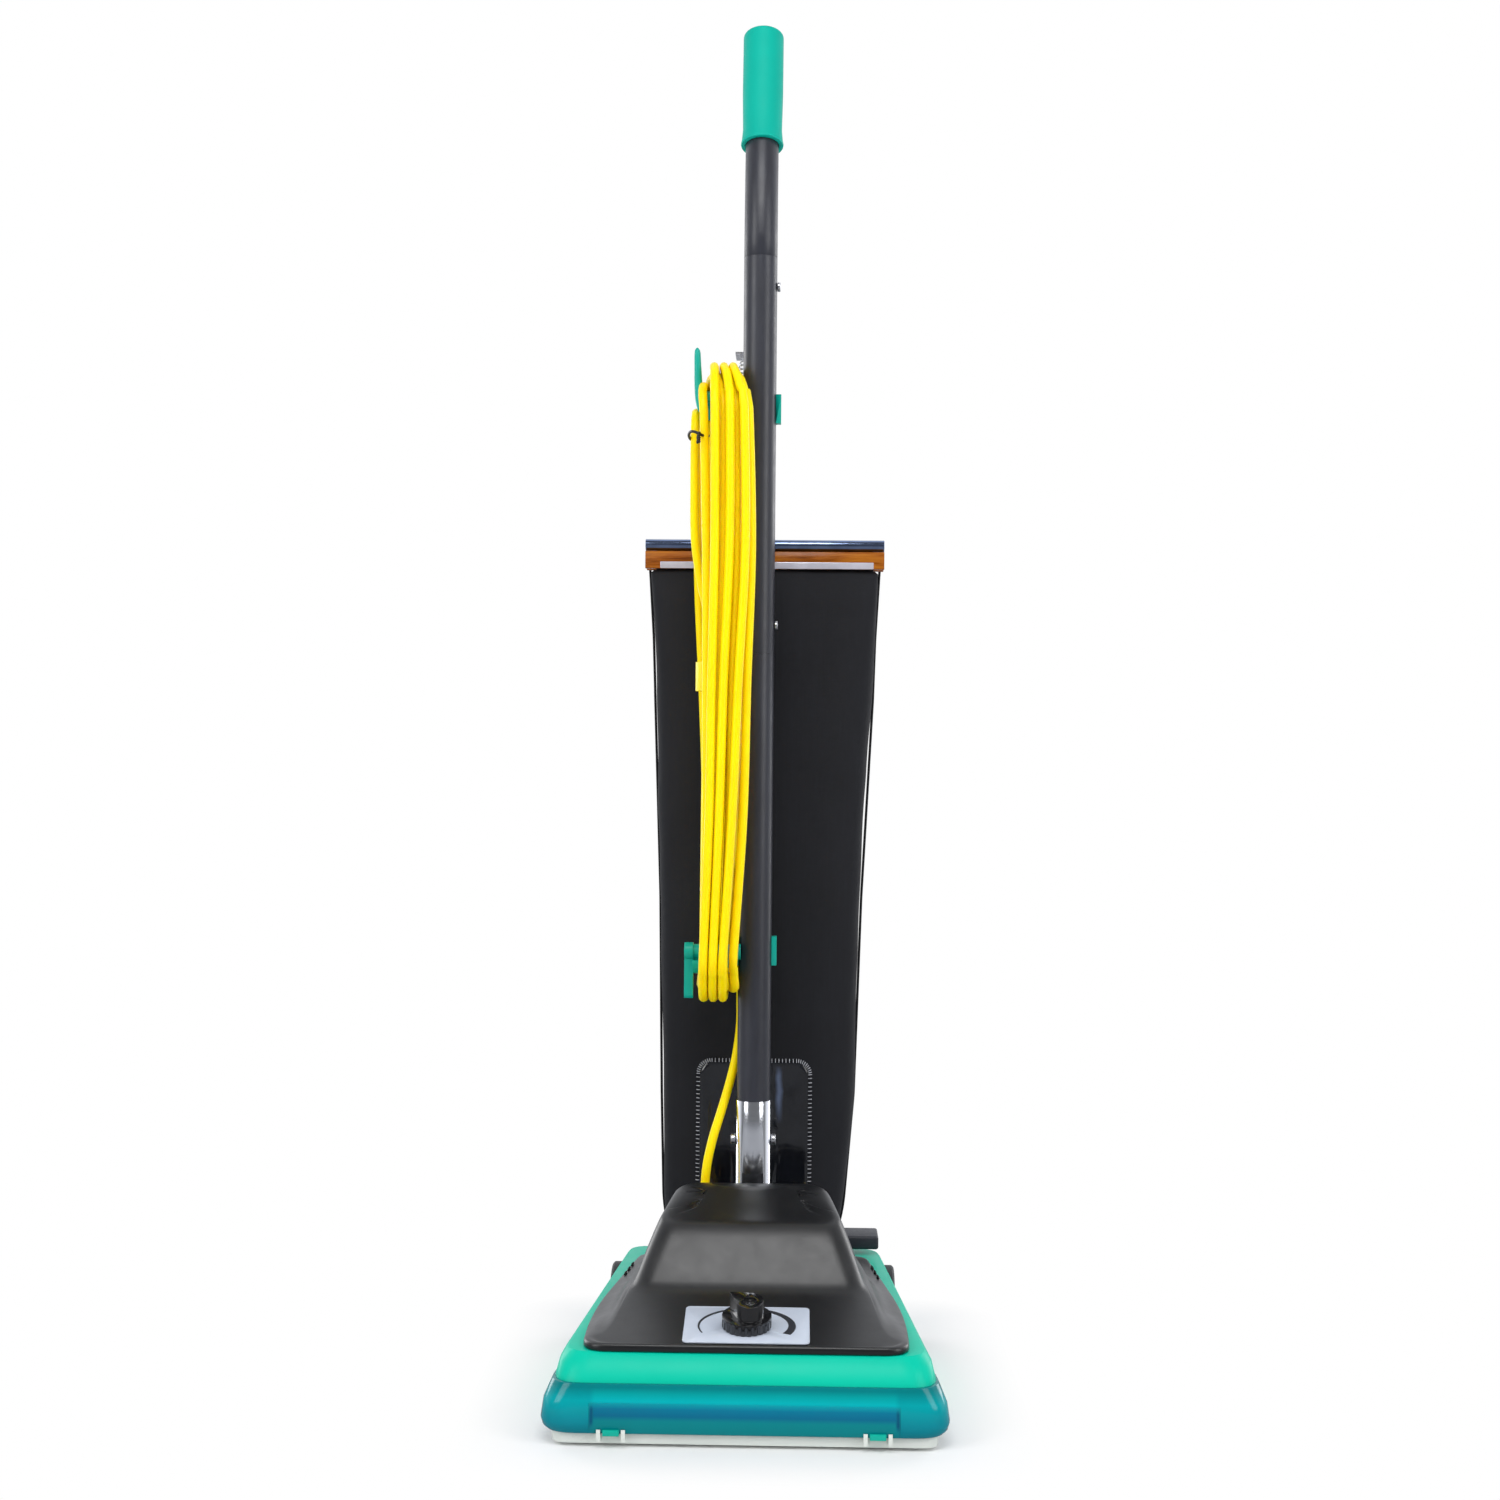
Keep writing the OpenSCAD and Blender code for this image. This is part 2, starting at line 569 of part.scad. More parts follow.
module exhaust_duct() {
    bore = duct_r - 1.8;
    color("darkslategray") difference() {
        union() {
            rod_y(duct_x, outlet_y + seat, bag_y - seat, duct_z, duct_r);
            rod_y(duct_x, collar_y[0] - 3, collar_y[0] - seat, duct_z, duct_r + 2);
        }
        rod_y(duct_x, outlet_y - 1, bag_y + 1, duct_z, bore);
        rod_x(fan_x[0] - 20, fan_x[1] + 5, 0, motor_z, fan_r + seat);
    }
}
collar_y = [bag_y - 13, bag_y - 4];
module collar_clamp() {                  // split band with a thumb screw standing up
    band = 1.5;
    color("darkkhaki") {
        difference() {
            rod_y(duct_x, collar_y[0], collar_y[1], duct_z, duct_r + fit + band);
            rod_y(duct_x, collar_y[0] - 1, collar_y[1] + 1, duct_z, duct_r + fit);
            box([duct_x - 1, collar_y[0] - 1, duct_z], [duct_x + 1, collar_y[1] + 1, duct_z + 40]);
        }
        for (s = [-1, 1]) translate([duct_x + s * 2.2, 0, 0])
            box([-1.2, collar_y[0], duct_z + duct_r + 0.4], [1.2, collar_y[1], duct_z + duct_r + 9]);
        rod_x(duct_x - 10, duct_x + 4.4, mix(collar_y[0], collar_y[1], 0.5), duct_z + duct_r + 5, 1.8);
        translate([duct_x - 11.5, mix(collar_y[0], collar_y[1], 0.5), duct_z + duct_r + 5])
            cube([3, 4, 12], center = true);
    }
}

// ================= Base: chassis and wheels =================

cheek_x = [22, 25];
boss_r = 20;                             // handle's pivot boss
pin_r = 5;
module pivot_bracket() {                 // folded steel channel that carries the handle and the axle
    color("dimgray") difference() {
        union() {
            box([-cheek_x[1], axle_y - 62, sole_t], [cheek_x[1], axle_y + 14, sole_t + 3]);
            both() along_x(cheek_x[0], cheek_x[1]) {
                translate([pivot_y - 14, sole_t]) square([28, pivot_z - sole_t]);
                translate([axle_y - 62, sole_t]) square([76, 36]);
                translate([pivot_y, pivot_z]) circle(14);
            }
        }
        rod_x(-30, 30, pivot_y, pivot_z, pin_r + run);
        rod_x(-30, 30, axle_y, wheel_r, axle_r + run);
    }
}
module pivot_pin() {
    color("silver") {
        rod_x(-cheek_x[1] - 1.5, cheek_x[1] + 1.5, pivot_y, pivot_z, pin_r);
        both() rod_x(cheek_x[1] + 1.5 - eps, cheek_x[1] + 3.5, pivot_y, pivot_z, pin_r + 2.5);
    }
}
module rear_axle() {
    color("silver") {
        rod_x(-wheel_x - wheel_w / 2 - 2, wheel_x + wheel_w / 2 + 2, axle_y, wheel_r, axle_r);
        both() rod_x(wheel_x + wheel_w / 2 + 1.2, wheel_x + wheel_w / 2 + 3, axle_y, wheel_r, axle_r + 3);
    }
}
rim_r = wheel_r - tyre_t;
module wheel_hub() {                     // dished hub with spokes between rim and boss
    color("dimgray") difference() {
        union() {
            difference() {
                rod_x(-wheel_w / 2, wheel_w / 2, axle_y, wheel_r, rim_r);
                for (s = [-1, 1]) rod_x(s * (wheel_w / 2 + 1.5) - wheel_w / 4 - 1, s * (wheel_w / 2 + 1.5) + wheel_w / 4,
                    axle_y, wheel_r, rim_r - 3);
            }
            rod_x(-wheel_w / 2, wheel_w / 2 + 0.8, axle_y, wheel_r, axle_r + 4);
            for (a = [0:60:300]) translate([0, axle_y, wheel_r]) rotate([a, 0, 0])
                box([-wheel_w / 2 + 2, -1.5, axle_r + 2], [wheel_w / 2 - 2, 1.5, rim_r - 1]);
        }
        rod_x(-wheel_w, wheel_w, axle_y, wheel_r, axle_r + run);
    }
}
module wheel_tyre() {
    c = 2;
    color("#26282c") translate([0, axle_y, wheel_r]) rotate([0, 90, 0]) rotate_extrude($fn = 72)
        polygon([[rim_r + fit, -wheel_w / 2], [wheel_r - c, -wheel_w / 2], [wheel_r, -wheel_w / 2 + c],
            [wheel_r, wheel_w / 2 - c], [wheel_r - c, wheel_w / 2], [rim_r + fit, wheel_w / 2]]);
}
module left_hub() {
    translate([-wheel_x, 0, 0]) mirror([1, 0, 0]) wheel_hub();
}
module right_hub() {
    translate([wheel_x, 0, 0]) wheel_hub();
}
module left_tyre() {
    translate([-wheel_x, 0, 0]) wheel_tyre();
}
module right_tyre() {
    translate([wheel_x, 0, 0]) wheel_tyre();
}

// ---- Front roller carriage, pushed down by the knob's cam ----
roller_x = [37.5, 56.5];
front_axle_r = 3;
front_z = roller_r + 0.4;
plate_z = [front_z + 13, front_z + 16];
ear_t = 2.6;
follower_y = carriage_y - 19;
cam_r = [13, 22];
cam_start = 2.5;                         // ramp's thickness under the plate at the first setting
cam_top = -(wall + 1.2);                 // cam's upper face below the deck's skin
follower_r = follower_y - knob_y;
follower_top = deck_z(knob_y) + follower_r * sin(knob_tilt) + (cam_top - cam_start) * cos(knob_tilt) - 1.1;
module front_carriage() {
    color("gray") difference() {
        union() {
            box([-roller_x[1] - ear_t - 1, carriage_y - 10, plate_z[0]],
                [roller_x[1] + ear_t + 1, carriage_y + 12, plate_z[1]]);
            both() for (x = [roller_x[0] - gap - ear_t, roller_x[1] + gap])
                box([x, carriage_y - 6, front_z - 5.5], [x + ear_t, carriage_y + 6, plate_z[0] + eps]);
            box([-5, follower_y - 3, plate_z[0]], [5, carriage_y - 9, plate_z[1]]);
            box([-2, follower_y - 2, plate_z[0]], [2, follower_y + 2, follower_top]);
        }
        both() rod_x(roller_x[0] - 6, roller_x[1] + 6, carriage_y, front_z, front_axle_r + run);
        both() rod_z(guide_x, carriage_y + 4, 0, guide_top + 5, guide_r + 0.1);
    }
}
module front_axle() {
    color("silver") both()
        rod_x(roller_x[0] - gap - ear_t - 0.8, roller_x[1] + gap + ear_t + 0.8, carriage_y, front_z, front_axle_r);
}
module front_roller() {
    color("whitesmoke") difference() {
        rod_x(roller_x[0], roller_x[1], carriage_y, front_z, roller_r);
        rod_x(roller_x[0] - 1, roller_x[1] + 1, carriage_y, front_z, front_axle_r + run);
    }
}
module left_roller() {
    mirror([1, 0, 0]) front_roller();
}
module right_roller() {
    front_roller();
}

// ---- Height knob: skirt, wedge grip and stem; the cam's ramp falls over 300 degrees ----
skirt_h = 9;
grip_at = [2.5, -2];                     // grip's round end, and the tip of its wedge
grip_tip = [-14, 10];
grip_end_r = 11;
module wedge_grip() {
    away = grip_tip - grip_at;
    turn = acos(grip_end_r / norm(away)) + 3;   // the sides meet the round end at a slight angle
    heading = atan2(away[1], away[0]);
    translate(grip_at) circle(grip_end_r);
    polygon(concat([grip_tip], [for (a = [heading - turn, heading + turn]) grip_at + grip_end_r * [cos(a), sin(a)]]));
}
module height_knob() {
    color("#17181b") at_knob() translate([0, 0, seat + plate_t + gap]) {
        difference() {
            cylinder(r = knob_d / 2, h = skirt_h);
            for (a = [0:15:345]) rotate(a) translate([knob_d / 2 + 0.8, 0, -1]) cylinder(r = 1.6, h = skirt_h - 1, $fn = 16);
            translate([0, -knob_d / 2 + 4.8, skirt_h - 1.2]) cylinder(r = 1.8, h = 3);
        }
        translate([0, 0, skirt_h - eps]) difference() {
            linear_extrude(knob_h - skirt_h + 0.5) wedge_grip();
            translate([0, 0, knob_h - skirt_h - 1.4]) rotate([8, 0, 0]) box([-knob_d, -knob_d, 0], [knob_d, knob_d, 20]);
            translate([grip_at[0], grip_at[1], knob_h - skirt_h - 3.4]) cylinder(r = 5.5, h = 5);
        }
        translate([0, 0, -seat - plate_t - gap - 1.2 - wall + eps])
            cylinder(r = stem_r, h = seat + plate_t + gap + 1.2 + wall);
    }
}
module knob_cam() {
    n = 30;
    fall = carriage_travel / 270;
    sections = [for (i = [n:-1:0]) let (a = 90 + 12 - i * 300 / n, z = -cam_start - fall * (i * 300 / n - 12))
        [for (p = [[cam_r[0], 0], [cam_r[1], 0], [cam_r[1], z], [cam_r[0], z]])
            [p[0] * cos(a), p[0] * sin(a), cam_top + p[1]]]];
    color("#17181b") at_knob() {
        skin(sections);
        translate([0, 0, cam_top - 2]) cylinder(r = cam_r[0] + 0.5, h = 2);
    }
}

// ---- Cord gland, switch and release pedal ----
gland_x = -43;
gland_y = 62;
gland_top = 125;
gland_bore = cord_d / 2 + fit;
module gland_profile() {                 // tapered strain relief with rings, held by its flange
    base = rim_z(gland_y + 10.5) + flange_t + 0.8 + seat / 2;
    polygon([[gland_bore, base - 12], [7, base - 12], [7, base], [10.5, base], [10.5, base + 3], [7.6, base + 5],
        each [for (i = [0:5]) each [[7.4 - 0.35 * i, base + 8 + 5 * i], [6.4 - 0.35 * i, base + 9 + 5 * i],
            [6.4 - 0.35 * i, base + 11 + 5 * i], [7.2 - 0.35 * i, base + 12 + 5 * i]]],
        [5.2, gland_top], [gland_bore, gland_top]]);
}
module cord_gland() {
    color("#d8c820") translate([gland_x, gland_y, 0]) rotate_extrude() gland_profile();
}

switch_x = [66, 94];
switch_y = base_rear - 12;
switch_z = 58;
module switch_body() {
    color("#303338") difference() {
        box([-switch_x[1], switch_y - 24, sole_t], [-switch_x[0], switch_y + 6, 70]);
        box([-switch_x[1] + 2, switch_y - 8, 46], [-switch_x[0] - 2, switch_y + 7, 71]);
        rod_x(-switch_x[1] - 1, -switch_x[0] + 1, switch_y, switch_z, 2 + run);
    }
    color("silver") rod_x(-switch_x[1], -switch_x[0], switch_y, switch_z, 2);
}
module switch_pedal() {
    color("#17181b") difference() {
        along_x(-switch_x[1] + 2.6, -switch_x[0] - 2.6) {
            translate([switch_y, switch_z]) circle(5);
            translate([switch_y, switch_z - 3]) square([28, 6]);
            translate([switch_y + 26, switch_z]) circle(3);
        }
        rod_x(-switch_x[1], -switch_x[0], switch_y, switch_z, 2 + run);
    }
}

pedal_y = base_rear - 27;
ledge_z = rim_z(pedal_y);
pedal_z = ledge_z + 6.5;
ear_x = [[34, 37], [61, 64]];
pedal_pin_r = 2.5;
module pedal_bracket() {
    color("dimgray") difference() {
        union() {
            box([ear_x[0][0], pedal_y - 8, ledge_z + 0.6], [ear_x[1][1], pedal_y + 8, ledge_z + 1.8]);
            for (e = ear_x) along_x(e[0], e[1]) {
                translate([pedal_y - 5, ledge_z + 0.6]) square([10, pedal_z - ledge_z - 0.6]);
                translate([pedal_y, pedal_z]) circle(5);
            }
        }
        rod_x(30, 70, pedal_y, pedal_z, pedal_pin_r + run);
    }
}
module pedal_pin() {
    color("silver") {
        rod_x(ear_x[0][0] - 1.5, ear_x[1][1] + 1.5, pedal_y, pedal_z, pedal_pin_r);
        for (x = [ear_x[0][0] - 2.5, ear_x[1][1] + 1]) rod_x(x, x + 1.5, pedal_y, pedal_z, pedal_pin_r + 1);
    }
}
spring_wire = 1.2;
module pedal_spring() {                  // torsion coil on the pedal's pin
    turns = 5;
    r = pedal_pin_r + spring_wire / 2 + 0.3;
    x0 = ear_x[1][0] - 1.2 - turns * 1.5;
    path = [for (i = [0:turns * 8]) [x0 + 1.5 * i / 8, pedal_y + r * cos(45 * i), pedal_z + r * sin(45 * i)]];
    color("silver") skin(tube_sections(path, spring_wire / 2, [1, 0, 0], 6));
}
paddle_z = pedal_z + 6;
module release_pedal() {                 // foot paddle, hinged on the pin, with the latch tongue
    x0 = 17.6;
    x1 = 116;
    color("#33363b") difference() {
        union() {
            along_x(ear_x[0][1] + 0.4, ear_x[1][0] - 10) {
                translate([pedal_y, pedal_z]) circle(4.4);
                translate([pedal_y - 4, pedal_z]) square([8, paddle_z + eps - pedal_z]);
            }
            box([x0, pedal_y - 6, paddle_z], [x1 - 46, pedal_y + 8, paddle_z + 4]);
            translate([0, 0, paddle_z]) linear_extrude(6) translate([mix(66, x1, 0.5), base_rear - 11])
                offset_square(x1 - 66, 36, 8);
            translate([0, 0, paddle_z - 8]) linear_extrude(8 + eps)
                translate([mix(72, x1, 0.5), base_rear + 6]) square([x1 - 82, 3], center = true);
            box([70, pedal_y - 1, pedal_z - 4], [x1 - 4, pedal_y + 2, paddle_z + eps]);
            along_x(x0, 20.8) polygon([[pedal_y + 2, paddle_z + 4], [pedal_y + 2, paddle_z],
                [pedal_y - 12, paddle_z - 3], [pivot_y + 15, pivot_z + 18], [pivot_y + 8, pivot_z + 21],
                [pivot_y + 8, pivot_z + 25], [pedal_y - 12, paddle_z + 3]]);
        }
        rod_x(30, 70, pedal_y, pedal_z, pedal_pin_r + run);
    }
}

// ================= Handle =================

tube_r = tube_d / 2;
tube_in = tube_r - tube_wall;
spigot_r = tube_in - fit;
socket_wall = 1.5;
socket_in = tube_r - 0.4;                // the swaged lower tube slides inside the socket
socket_r = socket_in + socket_wall;
bolt_z = socket_top - 36;
spigot_len = 55;
screw_z = seam_z + 26;
bend_start = top_seam_z + 13;
bend_r = 232;
grip_run = 145;                          // straight tube above the bend
bend_end = [pivot_y + bend_r * (1 - cos(grip_tilt)), bend_start + bend_r * sin(grip_tilt)];

module tube_z(z0, z1, r, bore) {
    translate([0, pivot_y, 0]) difference() {
        rod_z(0, 0, z0, z1, r);
        rod_z(0, 0, z0 - 1, z1 + 1, bore);
    }
}
module handle_socket() {                 // chrome socket: pivot boss, flattened neck, round mouth
    color("silver") difference() {
        union() {
            rod_x(-21.4, 21.4, pivot_y, pivot_z, boss_r - 6);
            rod_x(-17.2, 17.2, pivot_y, pivot_z, boss_r - 2);
            both() rod_x(17.2 - eps, 21.2, pivot_y, pivot_z, boss_r);
            intersection() {
                rod_z(0, pivot_y, pivot_z, socket_top, socket_r);
                box([-socket_r + 0.6, pivot_y - 13, pivot_z], [socket_r - 0.6, pivot_y + 13, socket_top - 62]);
            }
            rod_z(0, pivot_y, socket_top - 64, socket_top, socket_r);
        }
        rod_z(0, pivot_y, socket_top - spigot_len - 6, socket_top + 1, socket_in);
        rod_x(-30, 30, pivot_y, pivot_z, pin_r + run);
        rod_x(-30, 30, pivot_y, bolt_z, 3 + fit);
    }
}
module lower_tube() {
    color("#4b4e61") difference() {
        union() {
            tube_z(socket_top + fit, seam_z, tube_r, tube_in);
            tube_z(socket_top - spigot_len, socket_top + fit + 1, socket_in - fit, socket_in - fit - tube_wall);
            tube_z(seam_z - 3, seam_z, tube_r, spigot_r - tube_wall);
            tube_z(seam_z - 1, seam_z + spigot_len, spigot_r, spigot_r - tube_wall);
        }
        rod_x(-30, 30, pivot_y, bolt_z, 3 + fit);
        rod_x(5, 30, pivot_y, screw_z, 2 + fit);
    }
}
module middle_tube() {
    color("#4b4e61") difference() {
        tube_z(seam_z + fit, top_seam_z - fit, tube_r, tube_in);
        rod_x(5, 30, pivot_y, screw_z, 2 + fit);
        rod_x(5, 30, pivot_y, top_seam_z - 26, 2 + fit);
    }
}
module top_tube() {                      // swaged end, bend and the straight run inside the grip
    color("#4b4e61") {
        difference() {
            tube_z(top_seam_z - spigot_len, top_seam_z + 1, spigot_r, spigot_r - tube_wall);
            rod_x(5, 30, pivot_y, top_seam_z - 26, 2 + fit);
        }
        tube_z(top_seam_z, bend_start, tube_r, spigot_r - tube_wall);
        tube_z(bend_start - 1.5, bend_start + 1.5, tube_r - 0.3, spigot_r - tube_wall + 0.3);
        translate([0, pivot_y + bend_r, bend_start]) rotate([90, 0, -90])
            rotate_extrude(angle = grip_tilt, $fn = 144) translate([bend_r, 0]) difference() {
                circle(tube_r);
                circle(spigot_r - tube_wall);
            }
        at_grip() {
            difference() {
                cylinder(r = tube_r, h = grip_run);
                translate([0, 0, -1]) cylinder(r = spigot_r - tube_wall, h = grip_run + 2);
            }
            difference() {
                translate([0, 0, -1.5]) cylinder(r = tube_r - 0.3, h = 3);
                translate([0, 0, -2]) cylinder(r = spigot_r - tube_wall + 0.3, h = 4);
            }
        }
    }
}
module at_grip() {
    translate([0, bend_end[0], bend_end[1]]) rotate([-grip_tilt, 0, 0]) children();
}
grip_r = grip_d / 2;
module hand_grip() {                     // moulded sleeve with a flared mouth and a rounded end
    base = grip_run - grip_len + 4;
    top = base + grip_len;
    dome = 3.5;
    color("mediumturquoise") at_grip() rotate_extrude() polygon([
        [tube_r + fit, base], [grip_r + 0.5, base], [grip_r + 0.9, base + 1.5], [grip_r + 0.2, base + 5],
        [grip_r - 0.7, base + 16], [grip_r, mix(base, top, 0.45)], [grip_r, top - dome],
        each [for (i = [1:8]) [grip_r - dome + dome * cos(11.25 * i), top - dome + dome * sin(11.25 * i)]],
        [0, top], [0, grip_run + fit], [tube_r + fit, grip_run + fit]]);
}
module handle_screws() {                 // socket bolt with nut, and the two seam screws
    color("silver") {
        rod_x(-socket_r - 4, socket_r + 4, pivot_y, bolt_z, 3);
        rod_x(socket_r + 0.2, socket_r + 4, pivot_y, bolt_z, 5.2);
        rod_x(-socket_r - 4, -socket_r - 0.2, pivot_y, bolt_z, 5.2);
        for (z = [screw_z, top_seam_z - 26]) {
            rod_x(spigot_r - tube_wall - 1, tube_r + 1, pivot_y, z, 2);
            rod_x(tube_r + 0.2, tube_r + 3, pivot_y, z, 4.2);
        }
    }
}

// ---- Hooks ----
turn_points = 24;
pitch = cord_d + 0.6;
hank_right = 21.5;                       // first column left of the tube's axis
out_1 = 3 * turn_points + 8;             // samples in the first and the second layer
hank_left = hank_right + pitch * out_1 / turn_points;
fold_r = 3 * cord_d;                     // radius of the innermost cord fold
saddle_r = fold_r - cord_d / 2 - seat;
saddle_t = 4;
clip_t = 1.8;
clip_h = 26;
clip_r = tube_r + fit + clip_t;
arm_in = 18.3;                           // hook's inner end beside the tube's clip
arm_out = hank_left + cord_d / 2 + 0.6;
prong_t = 8;
hook_pin_r = 3;
module saddle(z, a0, a1) {               // curved rest for the folds, web and hub
    along_x(-arm_out, -arm_in) translate([hook_y, z]) {
        ring_sector(saddle_r - saddle_t, saddle_r, a0, a1);
        circle(6.5);
        rotate((a0 + a1) / 2) translate([0, -2]) square([saddle_r - 1, 4]);
    }
}
module prong(z0, z1, zc) {
    along_x(-arm_out - prong_t, -arm_out + eps) {
        translate([hook_y, z0]) circle(4.5);
        translate([hook_y, z1]) circle(4.5);
        translate([hook_y - 4.5, min(z0, z1)]) square([9, abs(z1 - z0)]);
        translate([hook_y, zc]) circle(8);
    }
}
module clip_band(z0) {                   // snaps on from behind the tube, with a thick lip on the right
    difference() {
        union() {
            rod_z(0, pivot_y, z0, z0 + clip_h, clip_r);
            box([tube_r - 2, pivot_y - 3, z0], [tube_r + 4.5, pivot_y + 6, z0 + clip_h]);
        }
        rod_z(0, pivot_y, z0 - 1, z0 + clip_h + 1, tube_r + fit);
        box([0.5 - tube_r, pivot_y - 30, z0 - 1], [tube_r + 7, pivot_y - 3, z0 + clip_h + 1]);
    }
}
module hook_clip() {
    color("mediumturquoise") {
        clip_band(upper_hook_z - clip_h / 2 + 6);
        difference() {
            rod_x(-arm_in + seat, 2.5 - tube_r, hook_y, upper_hook_z, 7);
            rod_z(0, pivot_y, upper_hook_z - 30, upper_hook_z + 30, tube_r + fit);
        }
    }
    color("silver") rod_x(-arm_out - prong_t - 2, -13, hook_y, upper_hook_z, hook_pin_r);
}
module cord_hook() {
    color("mediumturquoise") difference() {
        union() {
            saddle(upper_hook_z, 25, 155);
            prong(upper_hook_z, upper_hook_z + prong_up - 4.5, upper_hook_z);
        }
        rod_x(-90, 0, hook_y, upper_hook_z, hook_pin_r + run);
    }
}
module lower_hook() {
    color("mediumturquoise") {
        clip_band(lower_hook_z - clip_h / 2);
        difference() {
            rod_x(-arm_in - eps, 2.5 - tube_r, hook_y, lower_hook_z, 7);
            rod_z(0, pivot_y, lower_hook_z - 30, lower_hook_z + 30, tube_r + fit);
        }
        saddle(lower_hook_z, 205, 335);
        prong(lower_hook_z, lower_hook_z - prong_down + 4.5, lower_hook_z);
    }
}

// ---- Cord: a lead from the gland, the wound hank with its tail, and the plug ----
tail_at = 9 * turn_points + 20;
climb = 4;                               // samples of a run in which the winding climbs a layer
in_2 = out_1 + climb;
out_2 = in_2 + out_1;
in_3 = out_2 + climb;
function column(n) = n <= out_1 ? n : n <= in_2 ? out_1 : n <= out_2 ? out_1 - (n - in_2) :
    n <= in_3 ? 0 : n - in_3;
function layer(n) = n <= out_1 ? 0 : n <= in_2 ? (n - out_1) / climb : n <= out_2 ? 1 :
    n <= in_3 ? 1 + (n - out_2) / climb : 2;
spread = [1, 1.75, 1.45, 1.2, 1];        // how the front runs spread from the top hook to the lower
spread_x = -34;
drift = [0, 5, 5, 1, 0];                 // and how far they lie over the tube
function fanned(x, j) = j > 8 && j < 12 ? spread_x + (x - spread_x) * spread[j - 8] + drift[j - 8] : x;
// One sample of the winding: over the top, down the front, round the bottom and up the back
function wound(n) = let (j = n % turn_points, r = fold_r + pitch * layer(n),
        x = fanned(-hank_right - pitch * column(n) / turn_points, j))
    j <= 8 ? [x, hook_y + r * cos(22.5 * j), upper_hook_z + r * sin(22.5 * j)] :
    j < 12 ? [x, hook_y - r, mix(upper_hook_z, lower_hook_z, (j - 8) / 4)] :
    j <= 20 ? [x, hook_y - r * cos(22.5 * (j - 12)), lower_hook_z - r * sin(22.5 * (j - 12))] :
    [x, hook_y + r, mix(lower_hook_z, upper_hook_z, (j - 20) / 4)];
lead_points = [[-43, 62, 125], [-43, 62, 134], [-43, 62, 150], [-41, 63, 172], [-36, 66, 195], [-29, 72, 218],
    [-22, 80, 242], [-16, 86, 268], [-13, 89, 295], [-13, 89, 319], [-13, 89, 328]];
hank_start = [[-13, 89, 328], [-13, 89, 337], [-13, 88, 356], [-13, 88, 376], [-15, 86, 430], [-18, 83, 520],
    [-20, 82, 640], [-21, 82, 760]];
hank_tail = [[-46, 99, 480], [-50, 99, 590], [-56, 98, 680], [-58, 98, 730], [-58, 98, 758]];
tail_turn = [for (i = [1:7]) [-58, 74 + 24 * cos(22.5 * i), 758 + 24 * sin(22.5 * i)]];
tail_end = [[-58, 50, 758], [-57, 50, 725], [-50, 53, 690], [-43, 57, 660], [-41, 58, 645], [-41, 58, 636]];
hank_points = concat(hank_start, [for (n = [0:tail_at]) wound(n)], hank_tail, tail_turn, tail_end);

module cord_lead() {
    color("yellow") skin(tube_sections(lead_points, cord_d / 2, [1, 0, 0], 10));
}
module cord_hank() {
    color("yellow") skin(tube_sections(hank_points, cord_d / 2, [1, 0, 0], 6));
}
plug_at = hank_points[len(hank_points) - 1];
module cord_plug() {                     // three-pin moulded plug that hangs on the cord's tail
    color("#e8dc28") translate(plug_at) {
        translate([0, 0, -14]) cylinder(r = 6.5, h = 14);
        translate([0, 0, -40]) linear_extrude(26 + eps) intersection() {
            circle(14);
            translate([-14, -11]) square([28, 22]);
        }
    }
    color("silver") translate(plug_at) {
        for (s = [-1, 1]) box([s * 6.3 - 0.8, -6, -57], [s * 6.3 + 0.8, 0, -40 + eps]);
        rod_z(0, 5, -59, -40 + eps, 2.3);
    }
}
function strand_gap(p) = min([for (i = [0:len(p) - 1]) let (r = [for (k = [i + 7:len(p) - 1]) norm(p[k] - p[i])])
    len(r) > 0 ? min(r) : 999]);
echo(cord_gap = strand_gap(hank_points) - cord_d, lead_length = path_length(lead_points),
    hank_length = path_length(hank_points));

// ================= Bag =================

clamp_h = 28;
clamp_y = [bag_y + 6, bag_y + 31];
clamp_wall = 1.4;
bag_x = 5;                               // the bag hangs a little to the right
neck_y = mix(clamp_y[0], clamp_y[1], 0.5);
function bag_section(w, y0, y1, z, r) = [for (p = ring([w / 2, y0], [w / 2 - 4, y1], [r, r], [z, z], 4))
    p + [bag_x, 0, 0]];
neck_z = clamp_top - clamp_h - gap;
function bag_level(z) = let (k = sqrt(min(1, max(0, (neck_z - z) / 110))), f = min(1, 2 * k))
    bag_section(mix(bag_bottom_w, bag_w, (z - bag_bottom) / (neck_z - bag_bottom)),
        mix(neck_y - 6, bag_y, f), mix(neck_y + 6, bag_back, k), z, mix(4, 24, k));
bag_top = clamp_top - clamp_wall - seat;
module dust_bag() {                      // cloth bag down to the skirt, its neck inside the clamp
    color("#26272b") {
        skin([for (z = [skirt_top, neck_z - 110, neck_z - 60, neck_z - 28, neck_z - 10, neck_z]) bag_level(z)]);
        translate([bag_x, 0, 0]) box([-bag_w / 2 + 4, neck_y - 5.5, neck_z - 4], [bag_w / 2 - 4, neck_y + 5.5, bag_top]);
    }
}
module bag_skirt() {                     // bottom of the bag, which folds as the handle leans back
    color("#1f2024") difference() {
        skin([for (z = [bag_bottom, mix(bag_bottom, skirt_top, 0.5), skirt_top]) bag_level(z)]);
        rod_y(duct_x, bag_y - 5, bag_y + 10, duct_z, duct_r - 4);
    }
}
window_x = [-51, 56];
window_z = [136, 254];
